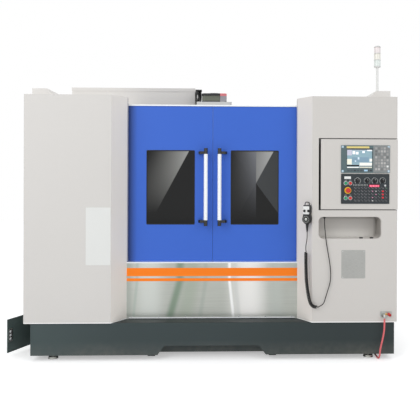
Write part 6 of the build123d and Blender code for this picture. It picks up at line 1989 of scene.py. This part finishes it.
@dataclass
class Services(Assembly):
    """Electrical cabinet and signal tower."""

    door_y: float = 1.190
    door_x: Pair = (0.700, 1.469)
    lock_in: float = 0.055
    lock_z: float = 1.20
    cooler_x: float = 1.676
    cooler_y: float = 0.945
    slot_zs: Pair = (1.100, 1.650)
    tower: Pair = (1.447, -0.750)
    tiers: tuple[float, ...] = (2.575, 2.517, 2.459)
    tier: float = 0.052
    seams: tuple[float, ...] = (2.4560, 2.5135, 2.5710, 2.6285)
    plate: Vec = (1.09, 0.725, 0.0)
    contactor_z: float = 1.240
    contactor_high: float = 0.062
    terminal_z: float = 0.960
    lead_xs: tuple[float, ...] = (0.823, 0.901, 0.979, 1.057)
    cabinet_top: float = 2.100
    cover_top: float = 2.131
    conduit_ys: Pair = (0.905, 0.650)
    conduit_xs: tuple[float, ...] = (1.02, 1.10, 1.18)

    def build(self) -> None:
        """Dress the cabinet and the tower and add their fittings."""
        self.dress(self.cabinet_finish(), "electrical_cabinet")
        self.dress("roof_coat", "cabinet_door")
        tones = ((240, 231, 230), (241, 238, 228), (231, 238, 234))
        lamps = (box(tone, (1.40, -0.80, low), (1.50, -0.70, low + self.tier))
                 for tone, low in zip(tones, self.tiers))
        self.dress(FINISHES["lamp_clear"].varied("tower_lamps", *lamps, clearcoat=0.3),
                   "signal_tower")
        self.door_fittings()
        self.cooler_fittings()
        self.tower_seams()
        self.roof_conduits()
        self.switchgear()
        self.drive_leads()

    def back_seat(self, x: float, z: float, lift: float = 0.0) -> Seat:
        """A seat on the cabinet door's outer face."""
        return Seat((x, self.door_y + lift, z), (-1.0, 0.0, 0.0), outward=(0.0, 1.0, 0.0))

    def door_fittings(self) -> None:
        """Louvres, swing handle with its plate and a bare plate on the cabinet door."""
        body, middle = "cabinet_door_body", sum(self.door_x) / 2
        lock_x = self.door_x[0] + self.lock_in
        rows = lattice(zs=spread(12, 0.026))
        for name, z in (("door_louvres_low", 0.62), ("door_louvres_high", 1.80)):
            piece = louvres(name, self.back_seat(middle, z), (0.30, 0.014, 0.007), rows)
            self.fit(piece, COVER, body)
        piece = slab("lock_plate", self.back_seat(lock_x, self.lock_z), (0.036, 0.190), 0.0050,
                     0.012, 0.0015, steps=6)
        self.fit(piece, SATIN, body)
        piece = slab("lock_lever", self.back_seat(lock_x, self.lock_z + 0.015, 0.0055),
                     (0.020, 0.135), 0.0065, 0.0095, 0.003, sink=0.0008, steps=8)
        self.fit(piece, CHROME, body)
        piece = slab("door_bare_plate", self.back_seat(middle, 1.38), (0.150, 0.095), 0.0010,
                     0.004)
        self.fit(piece, PLATE, body)

    def cooler_fittings(self) -> None:
        """Frames around the heat exchanger's slots, and its corner screws."""
        wall = Seat((self.cooler_x, 0.0, 0.0), (0.0, 1.0, 0.0), outward=(1.0, 0.0, 0.0))
        levels = [(0.0, -SINK), (0.0, 0.0022), (0.0015, 0.0032), (0.008, 0.0032),
                  (0.0092, -SINK)]
        for index, z in enumerate(self.slot_zs):
            piece = rim(f"cooler_frame_{index + 1}", wall.moved(self.cooler_y, z), (0.236, 0.212),
                        0.014, levels)
            self.fit(piece, SATIN)
        spots = lattice(ys=self.cooler_y + spread(2, 0.226), zs=(0.98, 1.375, 1.77))
        self.fit(socket_screws("cooler_screws", wall, 0.0055, 0.0030, spots), ZINC)

    def tower_seams(self) -> None:
        """Seams between the lamp tiers."""
        spots = lattice(zs=self.seams)
        piece = collar("tower_seams", floor_seat(*self.tower, 0.0), (0.0270, 0.0288), 0.0022, 40,
                       spots)
        self.fit(piece, Trim("label_pale", "lamp_plastic"))

    def roof_conduits(self) -> None:
        """Arched conduits with glands from the cabinet's roof into the side cover's roof."""
        run = np.linspace(0.0, 1.0, 121)
        radius = 0.0130 + 0.0013 * np.sin(run * 30 * tau)
        near, far = self.conduit_ys
        rise = (self.cover_top - self.cabinet_top) * run
        arch = self.cabinet_top + 0.018 + rise + 0.115 * np.sin(run * tau / 2) ** 0.75
        for index, x in enumerate(self.conduit_xs):
            path = points(x, near + (far - near) * run, arch)
            self.fit(tube(f"roof_conduit_{index + 1}", path, radius, 16), RUBBER)
        gland = [(0.0240, -SINK), (0.0240, 0.0100), (0.0215, 0.0120), (0.0205, 0.0260),
                 (0.0170, 0.0300), (0.0140, 0.0300)]
        spots = lattice(self.conduit_xs)
        for name, y, top in (("cabinet_glands", near, self.cabinet_top),
                             ("cover_glands", far, self.cover_top)):
            self.fit(turned(name, floor_seat(0.0, y, top), gland, spots=spots), PALE)

    def cabinet_finish(self) -> Finish:
        """Paint outside; inside a zinc mounting plate, pale drives, grey ducts, a dark core.

        Returns:
            The finish.
        """
        depths = (0.7265, 0.915)
        parts = (
            ((190, 193, 190), (0.702, 1.478), (0.7240, 0.7262), (0.31, 2.098)),
            ((214, 211, 200), (0.780, 1.100), depths, (1.480, 1.880)),
            ((40, 42, 45), (0.780, 1.100), depths, (1.480, 1.560)),
            ((58, 92, 84), (0.780, 1.100), depths, (1.835, 1.880)),
            ((74, 78, 82), (1.180, 1.380), depths, (1.520, 1.840)),
            ((142, 149, 156), (0.770, 1.410), depths, (1.125, 1.355)),
            ((48, 50, 54), (0.870, 1.310), depths, (0.495, 0.775)),
            ((172, 112, 72), (0.870, 1.310), depths, (0.585, 0.685)),
        )
        return FINISHES["roof_coat"].varied(
            "cabinet_paint", *(box(tone, *zip(*spans)) for tone, *spans in parts))

    def switchgear(self) -> None:
        """Contactors with pale caps, and a terminal row, on the mounting plate."""
        seat = Seat(self.plate, (-1, 0, 0), (0, 0, 1), (0, 1, 0))
        spots = lattice(spread(9, 0.060), zs=(self.contactor_z,))
        piece = slab("contactors", seat, (0.046, 0.074), self.contactor_high, 0.003, 0.001, spots)
        self.fit(piece, BLACK)
        seat_high = seat.moved(0.0, 0.0, self.contactor_high)
        self.fit(slab("contactor_caps", seat_high, (0.030, 0.030), 0.008, 0.003, spots=spots), PALE)
        spots = lattice(spread(32, 0.0145), zs=(self.terminal_z,))
        self.fit(slab("terminal_row", seat, (0.0125, 0.060), 0.044, 0.001, 0.0005, spots), PALE)

    def drive_leads(self) -> None:
        """Leads from the drives down to the duct, bowed outwards and sideways."""
        run = np.linspace(0.0, 1.0, 41)
        bow = np.sin(run * tau / 2)
        for index, x in enumerate(self.lead_xs):
            path = points(x + 0.012 * bow, 0.900 - 0.02 * run + 0.035 * bow,
                          1.505 - 0.165 * run * run * (3.0 - 2.0 * run))
            piece = tube(f"drive_lead_{index + 1}", path, 0.0065, 12)
            self.fit(piece, Trim("cord_black", "black_plastic"))


# Studio


@dataclass
class Studio:
    """Floor, lights and the photograph's camera."""

    camera_place: Vec = (0.088, -5.4277, 1.4748)
    yaw: float = 0.0284
    roll: float = 0.0033
    focal_pixels: float = 532.76
    centre: Pair = (238.4, 177.3)
    frame_pixels: float = 420.0
    lamp_table: tuple[tuple[str, Vec, Vec, float, float], ...] = (
        ("key", (-4.2, -6.5, 4.6), (0.0, -0.9, 1.1), 4.5, 175.0),
        ("fill", (4.6, -5.4, 4.6), (0.4, -0.9, 1.4), 3.5, 55.0),
        ("top", (0.0, -0.5, 6.5), (0.0, 0.0, 1.0), 5.0, 45.0),
    )

    def build(self) -> None:
        """Set up camera, world, lamps and floor."""
        self.camera()
        self.world()
        self.lamps()
        self.floor()
        bpy.context.scene.view_settings.view_transform = "Standard"

    def camera(self) -> None:
        """Level camera turned by the yaw, with the frame shifted to the photograph's."""
        data = bpy.data.cameras.new("camera")
        data.sensor_width = 36.0
        data.lens = self.focal_pixels / self.frame_pixels * data.sensor_width
        half = self.frame_pixels / 2
        data.shift_x = (half - self.centre[0]) / self.frame_pixels
        data.shift_y = (self.centre[1] - half) / self.frame_pixels
        data.clip_end = 100.0
        camera = link_object("camera", data)
        camera.location = self.camera_place
        camera.rotation_mode = "XYZ"
        camera.rotation_euler = (radians(90.0), -self.roll, -self.yaw)
        bpy.context.scene.camera = camera

    def world(self) -> None:
        """Soft sky light, with plain white where the camera, gloss and glass look past."""
        world = bpy.data.worlds.new("studio")
        bpy.context.scene.world = world
        world.use_nodes = True
        w = Wiring(world.node_tree)
        world.node_tree.nodes.clear()
        rays = w.add("ShaderNodeLightPath").outputs
        camera, glossy, through = (
            Signal(w, rays[f"Is {kind} Ray"]) for kind in ("Camera", "Glossy", "Transmission"))
        seen = w.math("MAXIMUM", camera, w.math("MAXIMUM", glossy, through))
        sky = {"Color": (0.97, 0.985, 1.0, 1.0), "Strength": 0.64}
        soft = w.run("ShaderNodeBackground", sky)
        white = w.run("ShaderNodeBackground", {"Color": (1.0, 1.0, 1.0, 1.0)})
        mixed = w.run("ShaderNodeMixShader", {0: seen, 1: soft, 2: white})
        w.feed(w.add("ShaderNodeOutputWorld").inputs[0], mixed)

    def lamps(self) -> None:
        """Large soft lamps, each turned from its place to its aim."""
        for name, place, aim, size, power in self.lamp_table:
            data = bpy.data.lights.new(name, "AREA")
            data.size = size
            data.energy = power
            lamp = link_object(name, data)
            lamp.location = place
            gap = np.array(aim) - np.array(place)
            pitch = np.arctan2(np.hypot(gap[0], gap[1]), -gap[2])
            lamp.rotation_euler = (float(pitch), 0.0, float(np.arctan2(-gap[0], gap[1])))

    def floor(self) -> None:
        """Wide pale disc under the machine, lit for the camera alone."""
        piece = turned("studio_floor", floor_seat(0.0, 0.0, 0.0),
                       [(14.0, -0.02), (14.0, -0.0005)], 64)
        material = bpy.data.materials.new("studio_floor")
        material.use_nodes = True
        shader = material.node_tree.nodes["Principled BSDF"]
        w = Wiring(material.node_tree)
        camera = w.run("ShaderNodeLightPath", {}, "Is Camera Ray")
        w.fill(shader, {
            "Base Color": (0.93, 0.93, 0.93, 1.0), "Roughness": 0.8,
            "Emission Color": (1.0, 1.0, 1.0, 1.0), "Emission Strength": camera * 0.42})
        piece.data.materials.append(material)


def main() -> None:
    """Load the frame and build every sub-assembly."""
    logging.basicConfig(level=logging.INFO, format="%(message)s")
    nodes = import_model()["nodes"]
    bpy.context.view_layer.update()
    paint = Paintbox()
    Studio().build()
    left = set(nodes) - {"mpg_lead", "mpg_coil", "mpg_housing", "air_hose"}
    for builder in (Pendant, AirLine, Enclosure, DoorPair, Mechanics, Console, Services):
        assembly = builder(nodes, paint)
        assembly.build()
        left -= set(assembly.made)
        for name in assembly.made:
            LOG.info("%s: %s", builder.__name__, name)
    if left:
        LOG.warning("not dressed: %s", ", ".join(sorted(left)))


if __name__ == "__main__":
    main()
